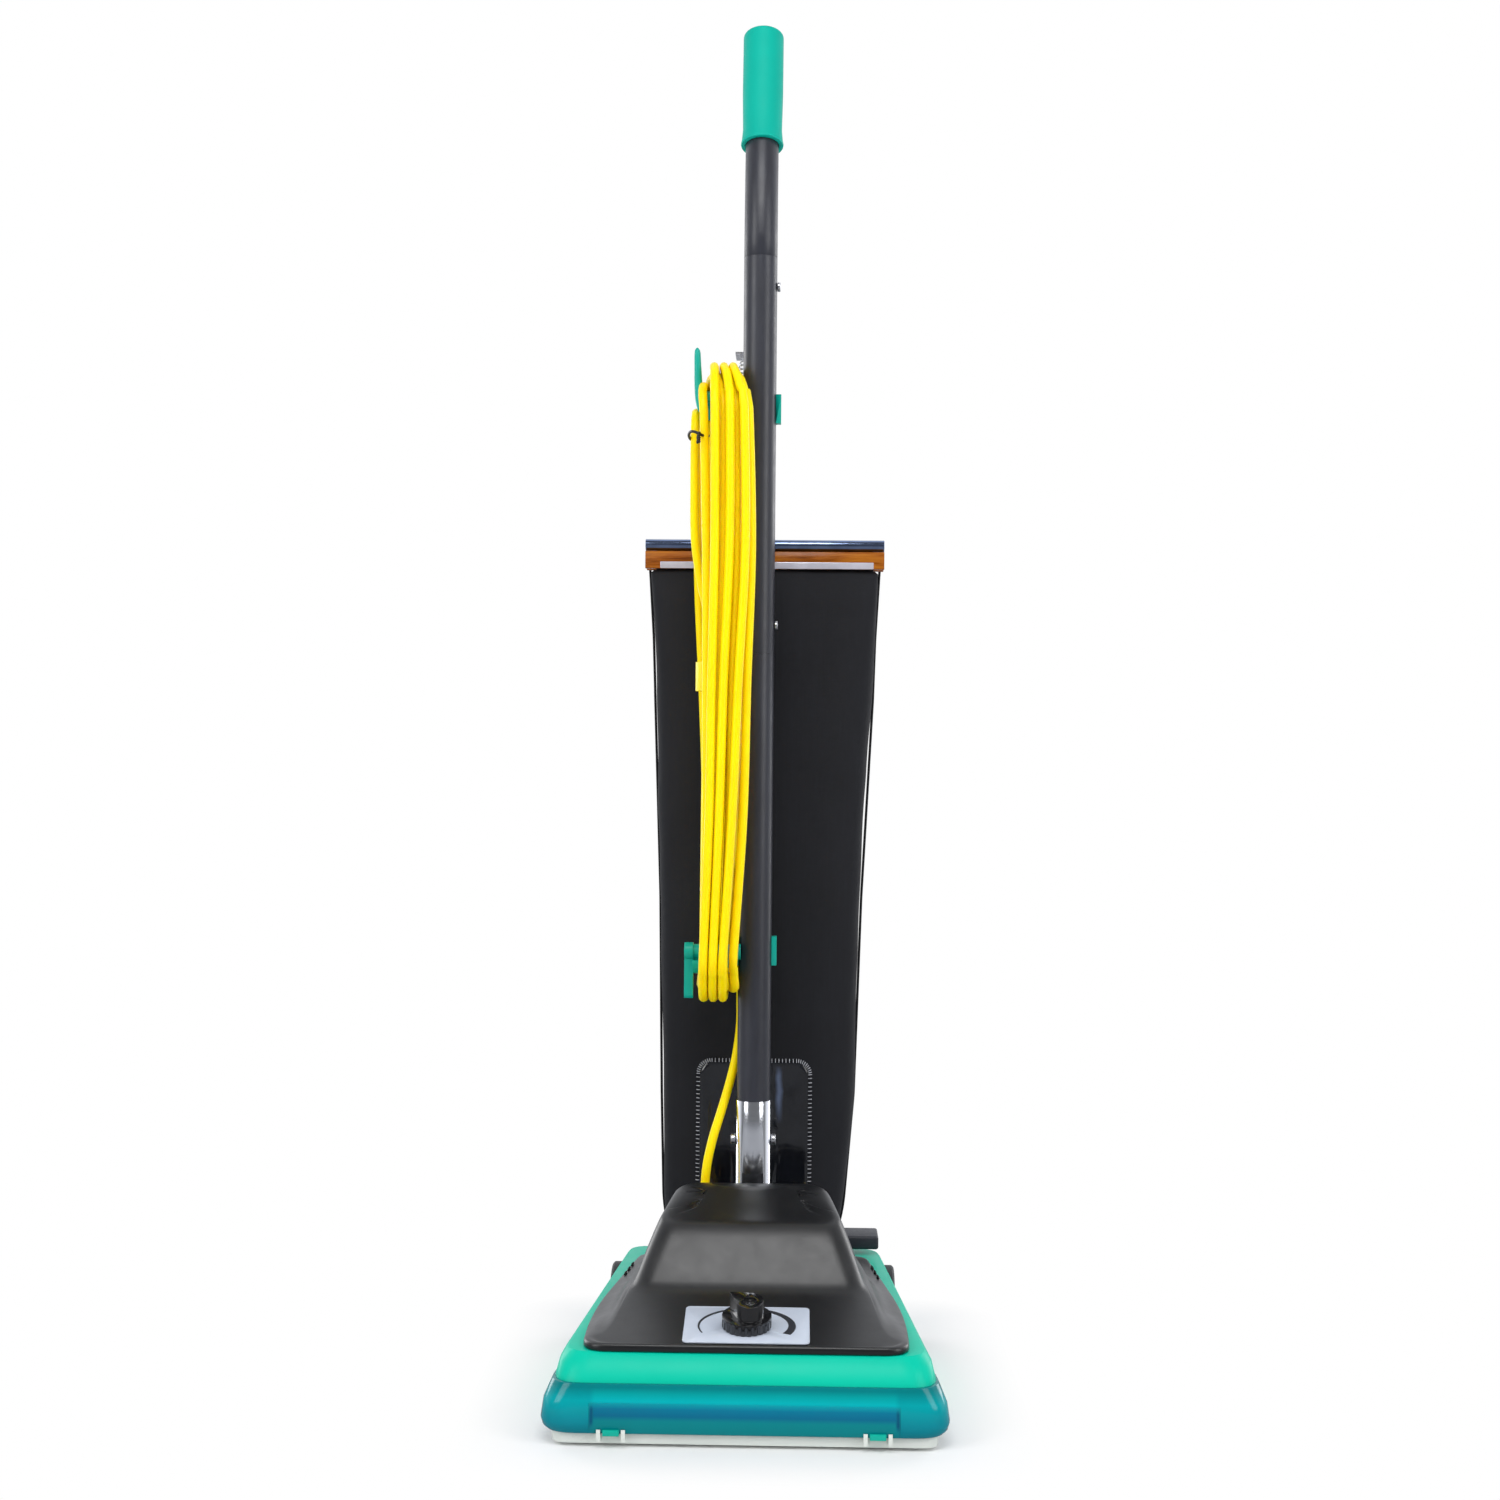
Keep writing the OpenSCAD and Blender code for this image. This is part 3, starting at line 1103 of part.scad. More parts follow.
module bag_window() {                    // clear panel with rounded top corners
    color("#101114") translate([mix(window_x[0], window_x[1], 0.5), bag_y - seat, 0]) rotate([90, 0, 0])
        translate([0, mix(window_z[0], window_z[1], 0.5), 0]) linear_extrude(1.2)
            offset_square(window_x[1] - window_x[0], window_z[1] - window_z[0], 9);
}
module bag_clamp() {                     // channel that slides over the bag's folded top
    color("sienna") along_x(bag_x - clamp_w / 2, bag_x + clamp_w / 2) difference() {
        union() {
            translate([clamp_y[0] + 5, clamp_top - 5]) circle(5);
            translate([clamp_y[1] - 5, clamp_top - 5]) circle(5);
            translate([clamp_y[0] + 5, clamp_top - 10]) square([clamp_y[1] - clamp_y[0] - 10, 10]);
            translate([clamp_y[0], clamp_top - clamp_h]) square([clamp_y[1] - clamp_y[0], clamp_h - 5]);
        }
        translate([neck_y - 6 - gap, clamp_top - clamp_h - 1]) square([12 + 2 * gap, clamp_h + 1 - clamp_wall]);
    }
}
hanger_x = -17.5;
spring_y = bag_y - 0.8;
module bag_hanger() {                    // strap riveted to the bag, with an eye for the spring
    color("silver") difference() {
        union() {
            box([hanger_x - 6, bag_y - 1.8, clamp_top - clamp_h - 40], [hanger_x + 6, bag_y - seat, clamp_top + 6]);
            rod_y(hanger_x, bag_y - 1.8, bag_y - seat, clamp_top + 6, 6);
        }
        rod_y(hanger_x, bag_y - 5, bag_y + 5, clamp_top + 6, 2.4);
    }
}
spring_top = upper_hook_z + 58;
spring_r = 3.5;
module bag_spring() {                    // extension spring, drawn in towards its top end
    curls = 40;
    z0 = clamp_top + 12 + seat + spring_wire / 2;
    path = [for (i = [0:curls * 8]) let (u = i / (curls * 8), r = spring_r * min(1, (1 - u) * 10 + 0.35))
        [hanger_x + r * cos(45 * i), spring_y + r * sin(45 * i), mix(z0, spring_top - seat - spring_wire / 2, u)]];
    color("silver") skin(tube_sections(path, spring_wire / 2, [0, 0, 1], 6));
}
module spring_bracket() {                // spring clip behind the tube with a tab over the bag's spring
    color("silver") {
        difference() {
            rod_z(0, pivot_y, spring_top - 8, spring_top + 4, tube_r + fit + 1.2);
            rod_z(0, pivot_y, spring_top - 9, spring_top + 5, tube_r + fit);
            box([-tube_d, pivot_y - tube_d, spring_top - 9], [tube_d, pivot_y - 3, spring_top + 5]);
        }
        difference() {
            box([hanger_x - 5, pivot_y + 6, spring_top], [hanger_x + 9, spring_y + 5, spring_top + 1.5]);
            rod_z(0, pivot_y, spring_top - 9, spring_top + 5, tube_r + fit);
            rod_z(hanger_x, spring_y, spring_top - 5, spring_top + 5, 1.2);
        }
    }
}

sole_plate();
sole_latches();
nozzle_housing();
bumper_guard();
motor_hood();
dial_plate();
brush_chamber();
brush_ends();
drive_belt();
air_duct();
motor_case();
motor_bearings();
fan_housing();
exhaust_duct();
collar_clamp();
pivot_bracket();
pivot_pin();
rear_axle();
cord_gland();
switch_body();
pedal_bracket();
pedal_pin();
pedal_spring();
hood_screws();
motor_shaft();
armature();
impeller();
brush_core();
bristles();
left_hub();
left_tyre();
right_hub();
right_tyre();
front_carriage();
front_axle();
left_roller();
right_roller();
height_knob();
knob_cam();
release_pedal();
switch_pedal();
handle_socket();
lower_tube();
middle_tube();
top_tube();
hand_grip();
handle_screws();
hook_clip();
cord_hook();
lower_hook();
spring_bracket();
bag_spring();
bag_hanger();
dust_bag();
bag_skirt();
bag_window();
bag_clamp();
cord_lead();
cord_hank();
cord_plug();
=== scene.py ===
import json
import math

import bmesh
import bpy
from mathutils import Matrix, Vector, noise


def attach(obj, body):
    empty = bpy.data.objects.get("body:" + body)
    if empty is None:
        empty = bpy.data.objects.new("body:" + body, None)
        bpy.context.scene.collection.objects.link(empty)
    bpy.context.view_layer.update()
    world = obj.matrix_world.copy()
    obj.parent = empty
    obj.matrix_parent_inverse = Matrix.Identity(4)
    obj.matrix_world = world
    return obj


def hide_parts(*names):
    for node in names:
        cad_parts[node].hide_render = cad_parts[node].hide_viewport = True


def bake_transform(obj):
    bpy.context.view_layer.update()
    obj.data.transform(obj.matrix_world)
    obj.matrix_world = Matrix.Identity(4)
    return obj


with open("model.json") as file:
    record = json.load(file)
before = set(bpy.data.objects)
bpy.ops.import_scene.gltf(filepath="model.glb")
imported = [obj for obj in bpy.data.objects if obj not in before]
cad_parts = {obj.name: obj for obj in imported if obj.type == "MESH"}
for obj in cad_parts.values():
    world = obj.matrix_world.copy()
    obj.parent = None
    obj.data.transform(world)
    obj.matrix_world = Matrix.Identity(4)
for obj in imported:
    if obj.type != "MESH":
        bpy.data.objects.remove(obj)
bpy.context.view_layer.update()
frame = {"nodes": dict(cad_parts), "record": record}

# ---------------------------------------------------------------- viewpoint

EYE = (0.036, -1.7325, 0.5437)
EYE_YAW, EYE_ROLL = 1.334, 0.50          # degrees


def place_viewpoint():
    lens = bpy.data.cameras.new("viewpoint")
    lens.lens = 48.0
    lens.sensor_width = 36.0
    stand = bpy.data.objects.new("viewpoint", lens)
    bpy.context.collection.objects.link(stand)
    stand.location = EYE
    stand.rotation_euler = (math.radians(90), 0, math.radians(EYE_YAW))
    stand.rotation_euler.rotate_axis("Z", math.radians(EYE_ROLL))
    bpy.context.scene.camera = stand


place_viewpoint()

# ---------------------------------------------------------------- mesh helpers

def keep(piece_name, bm, finish=None, smooth=40.0):
    """Stores the shape as a piece whose place is in its mesh."""
    mesh = bpy.data.meshes.new(piece_name)
    bm.to_mesh(mesh)
    bm.free()
    for face in mesh.polygons:
        face.use_smooth = True
    mesh.set_sharp_from_angle(angle=math.radians(smooth))
    piece = bpy.data.objects.new(piece_name, mesh)
    bpy.context.collection.objects.link(piece)
    if finish:
        mesh.materials.append(finish)
    return piece


def soften_edges(bm, width, segments=2, over=35.0):
    sharp = [e for e in bm.edges if len(e.link_faces) == 2 and e.calc_face_angle(0) > math.radians(over)]
    if sharp:
        bmesh.ops.bevel(bm, geom=sharp, offset=width, offset_type="OFFSET", segments=segments, profile=0.5,
                        affect="EDGES", clamp_overlap=True, material=-1)


def render_levels(piece, levels):
    mod = piece.modifiers.new("finer", "SUBSURF")
    mod.levels = levels
    mod.render_levels = levels


def solid_of(node):
    bm = bmesh.new()
    bm.from_mesh(frame["nodes"][node].data)
    bmesh.ops.remove_doubles(bm, verts=bm.verts, dist=2e-5)
    return bm


def cut(bm, at, facing, clear=False):
    """Cuts the shape by a plane; clear takes away what lies on the side that the plane faces."""
    bmesh.ops.bisect_plane(bm, geom=bm.verts[:] + bm.edges[:] + bm.faces[:], dist=1e-6, plane_co=at,
                           plane_no=facing, clear_outer=clear)


def close_cuts(bm):
    bmesh.ops.holes_fill(bm, edges=[e for e in bm.edges if e.is_boundary])


def bar_along_x(profile, start, end):
    """A bar between two Xs with an outline of (Y, Z) points."""
    bm = bmesh.new()
    face = bm.faces.new([bm.verts.new((start, y, z)) for y, z in profile])
    made = bmesh.ops.extrude_face_region(bm, geom=[face])["geom"]
    far = [g for g in made if isinstance(g, bmesh.types.BMVert)]
    bmesh.ops.translate(bm, vec=(end - start, 0, 0), verts=far)
    bmesh.ops.recalc_face_normals(bm, faces=bm.faces)
    return bm


def moulding(node, name, finish, edge=0.0, segments=2, smooth=40.0):
    """The solid of a CAD node with merged faces and softened edges, standing for that node."""
    bm = solid_of(node)
    bmesh.ops.dissolve_limit(bm, angle_limit=math.radians(1.0), verts=bm.verts, edges=bm.edges,
                             delimit={"NORMAL"})
    if edge:
        soften_edges(bm, edge, segments)
    piece = keep(name, bm, finish, smooth)
    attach(piece, body_of_node[node])
    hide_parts(node)
    return piece


body_of_node = {n: b for b, nodes in frame["record"]["behaviour"]["bodies"].items() for n in nodes}


def new_piece(name, bm, finish, body, smooth=40.0):
    piece = keep(name, bm, finish, smooth)
    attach(piece, body)
    return piece


def absorb(bm, other):
    spare = bpy.data.meshes.new("spare")
    other.to_mesh(spare)
    other.free()
    bm.from_mesh(spare)
    bpy.data.meshes.remove(spare)


def box_shape(low, high, round_by=0.0, segments=2):
    bm = bmesh.new()
    bmesh.ops.create_cube(bm, size=1.0)
    size = [high[i] - low[i] for i in range(3)]
    bmesh.ops.scale(bm, vec=size, verts=bm.verts)
    bmesh.ops.translate(bm, vec=[(high[i] + low[i]) / 2 for i in range(3)], verts=bm.verts)
    if round_by:
        bmesh.ops.bevel(bm, geom=bm.edges[:], offset=round_by, segments=segments, profile=0.5, affect="EDGES",
                        material=-1)
    return bm


def loft(rings):
    """A skin through rings of points: one circle, extruded from ring to ring and shaped at each."""
    count = len(rings[0])
    bm = bmesh.new()
    ring = list(bmesh.ops.create_circle(bm, segments=count, radius=1.0)["verts"])
    first = ring
    for v, p in zip(ring, rings[0]):
        v.co = p
    for points in rings[1:]:
        edges = [bm.edges.get((ring[k], ring[(k + 1) % count])) for k in range(count)]
        made = bmesh.ops.extrude_edge_only(bm, edges=edges)["geom"]
        fresh = {v for v in made if isinstance(v, bmesh.types.BMVert)}
        ring = [next(e.other_vert(v) for e in v.link_edges if e.other_vert(v) in fresh) for v in ring]
        for v, p in zip(ring, points):
            v.co = p
    bmesh.ops.contextual_create(bm, geom=first)
    bmesh.ops.contextual_create(bm, geom=ring)
    bmesh.ops.recalc_face_normals(bm, faces=bm.faces)
    return bm


def hose(path, radius, sides=12, side=Vector((1, 0, 0)), taper=None):
    """A capped tube along the path; taper gives its share of the radius at each share of the way."""
    last = len(path) - 1
    rings = []
    for i, p in enumerate(path):
        along = (path[min(i + 1, last)] - path[max(i - 1, 0)]).normalized()
        a = (side - side.dot(along) * along).normalized()
        b = along.cross(a)
        r = radius * (taper(i / last) if taper else 1)
        rings.append([p + r * (math.cos(t) * a + math.sin(t) * b)
                      for t in (2 * math.pi * k / sides for k in range(sides))])
    return loft(rings)


def plan_ring(right_side, radii, height, n=8):
    """Rounded outline seen from above, from its right-hand corners, front to rear; height gives Z for a Y."""
    corners = [Vector(c) for c in right_side] + [Vector((-x, y)) for x, y in reversed(right_side)]
    bends = list(radii) + list(reversed(radii))
    out = []
    for k, p in enumerate(corners):
        q, r = corners[k - 1], corners[(k + 1) % len(corners)]
        a, b = p + bends[k] * (q - p).normalized(), p + bends[k] * (r - p).normalized()
        for i in range(n + 1):
            t = i / n
            c = (1 - t) ** 2 * a + 2 * t * (1 - t) * p + t * t * b
            out.append(Vector((c.x, c.y, height(c.y))))
    return out


def smooth_path(points, spacing):
    """Even steps along a smooth curve through the points."""
    pts = [Vector(p) for p in points]
    out = []
    for i in range(len(pts) - 1):
        p0, p1, p2, p3 = pts[max(i - 1, 0)], pts[i], pts[i + 1], pts[min(i + 2, len(pts) - 1)]
        steps = max(1, round((p2 - p1).length / spacing))
        for k in range(steps):
            t = k / steps
            out.append(0.5 * ((2 * p1) + (p2 - p0) * t + (2 * p0 - 5 * p1 + 4 * p2 - p3) * t * t
                              + (3 * p1 - p0 - 3 * p2 + p3) * t ** 3))
    out.append(pts[-1])
    return out


# ---------------------------------------------------------------- finishes

def linear(r, g, b):
    def one(c):
        c /= 255.0
        return c / 12.92 if c <= 0.04045 else ((c + 0.055) / 1.055) ** 2.4
    return (one(r), one(g), one(b), 1.0)


class Finish:
    """A node-based material and short ways to add its nodes."""

    def __init__(self, name, **sockets):
        self.mat = bpy.data.materials.new(name)
        self.mat.use_nodes = True
        self.tree = self.mat.node_tree
        self.tree.nodes.clear()
        out = self.add("ShaderNodeOutputMaterial")
        self.skin = self.add("ShaderNodeBsdfPrincipled")
        self.link(self.skin.outputs[0], out.inputs[0])
        for key, value in sockets.items():
            self.skin.inputs[key.replace("_", " ").title().replace("Ior", "IOR")].default_value = value
        self.place = self.add("ShaderNodeTexCoord").outputs["Object"]

    def add(self, kind, **settings):
        node = self.tree.nodes.new(kind)
        for key, value in settings.items():
            setattr(node, key, value)
        return node

    def link(self, a, b):
        self.tree.links.new(a, b)

    def stretched(self, scale):
        m = self.add("ShaderNodeMapping")
        m.inputs["Scale"].default_value = scale
        self.link(self.place, m.inputs[0])
        return m.outputs[0]

    def grain(self, scale, detail=2.0, rough=0.5, source=None):
        n = self.add("ShaderNodeTexNoise")
        n.inputs["Scale"].default_value = scale
        n.inputs["Detail"].default_value = detail
        n.inputs["Roughness"].default_value = rough
        self.link(source or self.place, n.inputs["Vector"])
        return n.outputs["Fac"]

    def bands(self, scale, axis="X", distortion=0.0, source=None):
        w = self.add("ShaderNodeTexWave", bands_direction=axis)
        w.inputs["Scale"].default_value = scale
        w.inputs["Distortion"].default_value = distortion
        self.link(source or self.place, w.inputs["Vector"])
        return w.outputs["Fac"]

    def between(self, fac, low, high, a=0.0, b=1.0):
        r = self.add("ShaderNodeMapRange")
        for key, value in (("From Min", a), ("From Max", b), ("To Min", low), ("To Max", high)):
            r.inputs[key].default_value = value
        self.link(fac, r.inputs["Value"])
        return r.outputs["Result"]

    def inside(self, fac, a, b, c, d):
        """One from b to c, falling to nothing at a and at d."""
        return self.math("MULTIPLY", self.between(fac, 0.0, 1.0, a, b), self.between(fac, 1.0, 0.0, c, d))

    def tints(self, fac, *stops):
        ramp = self.add("ShaderNodeValToRGB")
        marks = ramp.color_ramp.elements
        while len(marks) < len(stops):
            marks.new(0.5)
        for mark, (at, colour) in zip(marks, stops):
            mark.position = at
            mark.color = colour
        self.link(fac, ramp.inputs[0])
        return ramp.outputs["Color"]

    def blend_tints(self, fac, a, b):
        m = self.add("ShaderNodeMix", data_type="RGBA")
        for socket, value in ((m.inputs[0], fac), (m.inputs[6], a), (m.inputs[7], b)):
            if isinstance(value, (float, tuple)):
                socket.default_value = value
            else:
                self.link(value, socket)
        return m.outputs[2]

    def math(self, what, a, b=0.0):
        m = self.add("ShaderNodeMath", operation=what)
        for socket, value in zip(m.inputs, (a, b)):
            if isinstance(value, (int, float)):
                socket.default_value = value
            else:
                self.link(value, socket)
        return m.outputs[0]

    def axis(self, name):
        s = self.add("ShaderNodeSeparateXYZ")
        self.link(self.place, s.inputs[0])
        return s.outputs[name]

    def colour(self, socket):
        self.link(socket, self.skin.inputs["Base Color"])
        return self

    def rough(self, socket):
        self.link(socket, self.skin.inputs["Roughness"])
        return self

    def relief(self, height, strength, distance=0.001):
        b = self.add("ShaderNodeBump")
        b.inputs["Strength"].default_value = strength
        b.inputs["Distance"].default_value = distance
        self.link(height, b.inputs["Height"])
        if self.skin.inputs["Normal"].is_linked:
            self.link(self.skin.inputs["Normal"].links[0].from_socket, b.inputs["Normal"])
        self.link(b.outputs[0], self.skin.inputs["Normal"])
        return self


def shade(colour, by):
    return tuple(min(1.0, c * by) for c in colour[:3]) + (1.0,)


def moulded(name, colour, rough=(0.25, 0.4), grain=900.0, relief=0.15, spread=0.12, patch=14.0, **sockets):
    f = Finish(name, **sockets)
    dark, light = shade(colour, 1 - spread), shade(colour, 1 + spread)
    f.colour(f.tints(f.grain(patch, 4.0), (0.3, dark), (0.7, light)))
    f.rough(f.between(f.grain(60.0, 5.0, 0.7), rough[0], rough[1], 0.3, 0.7))
    f.relief(f.grain(grain, 3.0, 0.6), relief, 0.0004)
    return f.mat


def metal(name, colour, rough=(0.2, 0.38), scratch=(40, 900, 40), relief=0.12, spread=0.15, **sockets):
    f = Finish(name, metallic=1.0, **sockets)
    drawn = f.grain(1.0, 6.0, 0.7, f.stretched(scratch))
    dark, light = shade(colour, 1 - spread), shade(colour, 1 + spread)
    f.colour(f.tints(f.grain(25.0, 5.0, 0.65), (0.3, dark), (0.75, light)))
    f.rough(f.between(drawn, rough[0], rough[1], 0.3, 0.7))
    f.relief(drawn, relief, 0.0003)
    return f.mat


housing_green = moulded("housing green moulding", linear(0, 190, 160), (0.30, 0.38), 500, 0.008, 0.03, 6,
                        specular_ior_level=0.12)
latch_green = moulded("latch green moulding", linear(0, 166, 146), (0.3, 0.42), 1100, 0.12, 0.06,
                      specular_ior_level=0.3)
hook_green = moulded("hook green nylon", linear(0, 158, 142), (0.3, 0.45), 800, 0.12, 0.07,
                     specular_ior_level=0.3)
grip_vinyl = moulded("grip green vinyl", linear(0, 164, 146), (0.42, 0.55), 1500, 0.3, 0.05, 20,
                     specular_ior_level=0.14)
hood_satin = moulded("hood black satin", linear(14, 15, 18), (0.31, 0.38), 400, 0.003, 0.06, 8,
                     specular_ior_level=0.6)
knob_gloss = moulded("knob black gloss", linear(18, 18, 20), (0.12, 0.22), 700, 0.05, 0.15, 30,
                     coat_weight=0.4)
pedal_plastic = moulded("pedal dark plastic", linear(38, 41, 50), (0.45, 0.6), 1500, 0.4, 0.1)
hub_plastic = moulded("hub grey plastic", linear(66, 68, 72), (0.4, 0.55), 1200, 0.3, 0.1)
nylon_white = moulded("roller white nylon", linear(214, 214, 208), (0.35, 0.5), 1000, 0.15, 0.04)
sole_enamel = moulded("sole white enamel", linear(214, 219, 213), (0.25, 0.38), 500, 0.1, 0.03, 12)
steel_black = moulded("black painted steel", linear(48, 50, 54), (0.35, 0.5), 600, 0.2, 0.12)
belt_rubber = moulded("belt rubber", linear(30, 30, 31), (0.6, 0.75), 1500, 0.5, 0.15)
tyre_rubber = moulded("tyre rubber", linear(40, 42, 45), (0.55, 0.7), 1300, 0.5, 0.15)
nylon_bristle = moulded("bristle nylon", linear(32, 32, 34), (0.4, 0.6), 2500, 0.9, 0.3)
cord_vinyl = moulded("cord yellow vinyl", linear(255, 220, 0), (0.32, 0.42), 900, 0.01, 0.03, 20,
                     specular_ior_level=0.15, subsurface_weight=0.5, subsurface_radius=(1.0, 0.55, 0.05),
                     subsurface_scale=0.006)
plug_vinyl = moulded("plug yellow vinyl", linear(246, 224, 12), (0.36, 0.48), 1300, 0.2, 0.05, 30)
tie_black = moulded("tie black vinyl", linear(22, 22, 24), (0.35, 0.5), 1200, 0.2, 0.2)
steel_zinc = metal("zinc plated steel", (0.62, 0.63, 0.66, 1))
alloy_cast = metal("cast alloy", (0.46, 0.48, 0.50, 1), (0.35, 0.55), (300, 300, 300), 0.3)
brass_dull = metal("dull plated band", (0.62, 0.52, 0.30, 1), (0.25, 0.4))
chrome = metal("polished chrome", (0.86, 0.88, 0.93, 1), (0.12, 0.20), (30, 30, 700), 0.02, 0.05)


def woven(name, dark, light, pitch=0.0011, rough=(0.75, 0.9)):
    """Plain weave: warp and weft ribs over the cloth, with slubs and faint wear."""
    f = Finish(name, specular_ior_level=0.25)
    warp = f.bands(1.0, "X", source=f.stretched((0.5 / pitch, 1, 1)))
    weft = f.bands(1.0, "Z", source=f.stretched((1, 1, 0.5 / pitch)))
    weave = f.math("MAXIMUM", warp, weft)
    slub = f.grain(1.0, 4.0, 0.7, f.stretched((900, 300, 30)))
    worn = f.grain(5.0, 5.0, 0.6)
    tone = f.math("ADD", f.math("MULTIPLY", slub, 0.45), f.math("MULTIPLY", worn, 0.55))
    cloth = f.tints(tone, (0.35, dark), (0.68, light))
    f.colour(f.blend_tints(f.between(weave, 0.0, 0.5), cloth, shade(light, 1.25)))
    f.rough(f.between(slub, rough[0], rough[1]))
    f.relief(weave, 0.35, 0.0003)
    f.relief(f.grain(70.0, 4.0, 0.6), 0.25, 0.0015)
    return f.mat


bag_cloth_finish = woven("bag black cloth", linear(15, 15, 17), linear(30, 31, 36))
binding_finish = woven("bag binding tape", linear(12, 12, 14), linear(24, 24, 28), 0.0007)
thread_finish = moulded("stitching thread", linear(182, 184, 190), (0.6, 0.75), 2500, 0.5, 0.2)


def window_vinyl_painted_reflection():
    """Glossy clear sheet over dark cloth, with ripples and a painted reflection: a soft bluish vertical
    stripe.
    """
    f = Finish("window vinyl sheet with painted reflection", coat_weight=0.6, coat_roughness=0.03, specular_ior_level=0.4)
    sheet = f.tints(f.grain(14.0, 5.0, 0.6), (0.35, linear(8, 9, 12)), (0.75, linear(26, 29, 37)))
    # painted reflection: a soft bluish vertical stripe at X 25 mm, from Z 200 to 254 mm, made wavy by noise
    ripple = f.math("ADD", f.axis("X"), f.math("MULTIPLY", f.grain(40.0, 2.0), 0.006))
    line = f.between(f.math("ABSOLUTE", f.math("SUBTRACT", ripple, 0.0250)), 1.0, 0.0, 0.0005, 0.0038)
    painted_mark_span = f.inside(f.axis("Z"), 0.200, 0.222, 0.244, 0.254)
    reflection_streak = f.math("MULTIPLY", f.math("MULTIPLY", line, painted_mark_span), 0.7)
    f.colour(f.blend_tints(reflection_streak, sheet, linear(92, 106, 136)))
    f.rough(f.between(f.grain(30.0, 4.0), 0.10, 0.28, 0.3, 0.7))
    f.relief(f.grain(1.0, 3.0, 0.5, f.stretched((34, 34, 12))), 0.9, 0.006)
    return f.mat


def guard_vinyl_painted_light():
    """Teal vinyl with painted light: painted shade as a bluer band across the recessed panel and as thin dark
    lines at its ends, and a painted highlight as a lighter brow above.
    """
    f = Finish("guard teal vinyl with painted shade and highlight", coat_weight=0.25, coat_roughness=0.06, specular_ior_level=0.12)
    up = f.between(f.axis("Z"), 0.0, 1.0, 0.008, 0.047)
    out = f.math("ABSOLUTE", f.axis("X"))
    # painted light over the recessed panel by height: the bluer dip at 0.46 is painted shade under the
    # recess's top edge, and the light stop at 0.76 is a painted highlight
    panel = f.tints(up, (0.0, linear(0, 118, 124)), (0.36, linear(0, 130, 136)),
                    (0.46, linear(0, 104, 138)), (0.60, linear(0, 116, 148)), (0.76, linear(0, 166, 172)),
                    (0.9, linear(0, 146, 146)), (1.0, linear(0, 118, 122)))
    # beside the recess: a painted highlight as the lighter band at 0.76, darker towards the foot and the top
    ends = f.tints(up, (0.0, linear(0, 104, 118)), (0.35, linear(0, 126, 140)), (0.76, linear(0, 152, 158)),
                   (1.0, linear(0, 116, 120)))
    body = f.blend_tints(f.between(out, 0.0, 1.0, 0.1165, 0.1205), panel, ends)
    # painted shade: thin dark lines where the recess's side walls stand, at |X| 119 mm
    to_edge = f.math("ABSOLUTE", f.math("SUBTRACT", out, 0.1190))
    painted_mark_span = f.inside(up, 0.22, 0.34, 0.58, 0.70)
    edge = f.math("MULTIPLY", f.between(to_edge, 1.0, 0.0, 0.0002, 0.0022), painted_mark_span)
    f.colour(f.blend_tints(edge, body, linear(0, 82, 118)))
    f.rough(f.between(f.grain(40.0, 4.0), 0.10, 0.20, 0.3, 0.7))
    f.relief(f.grain(500.0, 2.0), 0.03, 0.0004)
    return f.mat


def tube_enamel():
    """Dark blue-grey enamel with a faint orange peel and rubbed marks."""
    f = Finish("tube dark enamel", coat_weight=0.15, coat_roughness=0.3, specular_ior_level=0.45)
    f.colour(f.tints(f.grain(1.0, 6.0, 0.7, f.stretched((60, 60, 9))), (0.3, linear(34, 35, 42)),
                     (0.72, linear(46, 48, 58))))
    f.rough(f.between(f.grain(90.0, 5.0, 0.7), 0.34, 0.48, 0.3, 0.7))
    f.relief(f.grain(1400.0, 2.0), 0.10, 0.0003)
    return f.mat


def label_foil():
    f = Finish("label printed foil", metallic=0.1)
    f.colour(f.tints(f.grain(30.0, 4.0), (0.3, linear(192, 202, 218)), (0.7, linear(206, 214, 228))))
    f.rough(f.between(f.grain(200.0, 4.0), 0.34, 0.46, 0.3, 0.7))
    f.relief(f.grain(1600.0, 2.0), 0.08, 0.0002)
    return f.mat


def clamp_painted_reflection():
    """Amber and brown streaks along the channel: a painted reflection of brown surroundings in the chrome
    channel, with roughness and bumps that follow them.
    """
    f = Finish("clamp amber painted reflection", coat_weight=0.15, coat_roughness=0.12, specular_ior_level=0.2)
    # painted reflection: this noise, stretched along the channel, paints the amber streaks of reflected brown
    # surroundings
    reflection_streak = f.grain(1.0, 6.0, 0.65, f.stretched((16, 60, 220)))
    f.colour(f.tints(reflection_streak, (0.3, linear(92, 42, 4)), (0.5, linear(142, 76, 8)),
                     (0.72, linear(178, 108, 16))))
    f.rough(f.between(reflection_streak, 0.2, 0.36, 0.3, 0.7))
    f.relief(reflection_streak, 0.1, 0.0004)
    return f.mat


def copper_windings():
    f = Finish("motor windings", metallic=0.4)
    turns = f.bands(900.0, "X", distortion=1.5)
    f.colour(f.tints(turns, (0.2, (0.20, 0.07, 0.02, 1)), (0.8, (0.55, 0.26, 0.09, 1))))
    f.rough(f.between(f.grain(120.0), 0.35, 0.55))
    f.relief(turns, 0.5, 0.0005)
    return f.mat


def beech_core():
    f = Finish("brush beech core")
    rings = f.bands(60.0, "Y", distortion=3.0, source=f.stretched((0.06, 1, 1)))
    f.colour(f.tints(rings, (0.2, linear(150, 108, 66)), (0.8, linear(196, 156, 106))))
    f.rough(f.between(f.grain(150.0, 4.0), 0.35, 0.5))
    f.relief(rings, 0.15, 0.0004)
    return f.mat


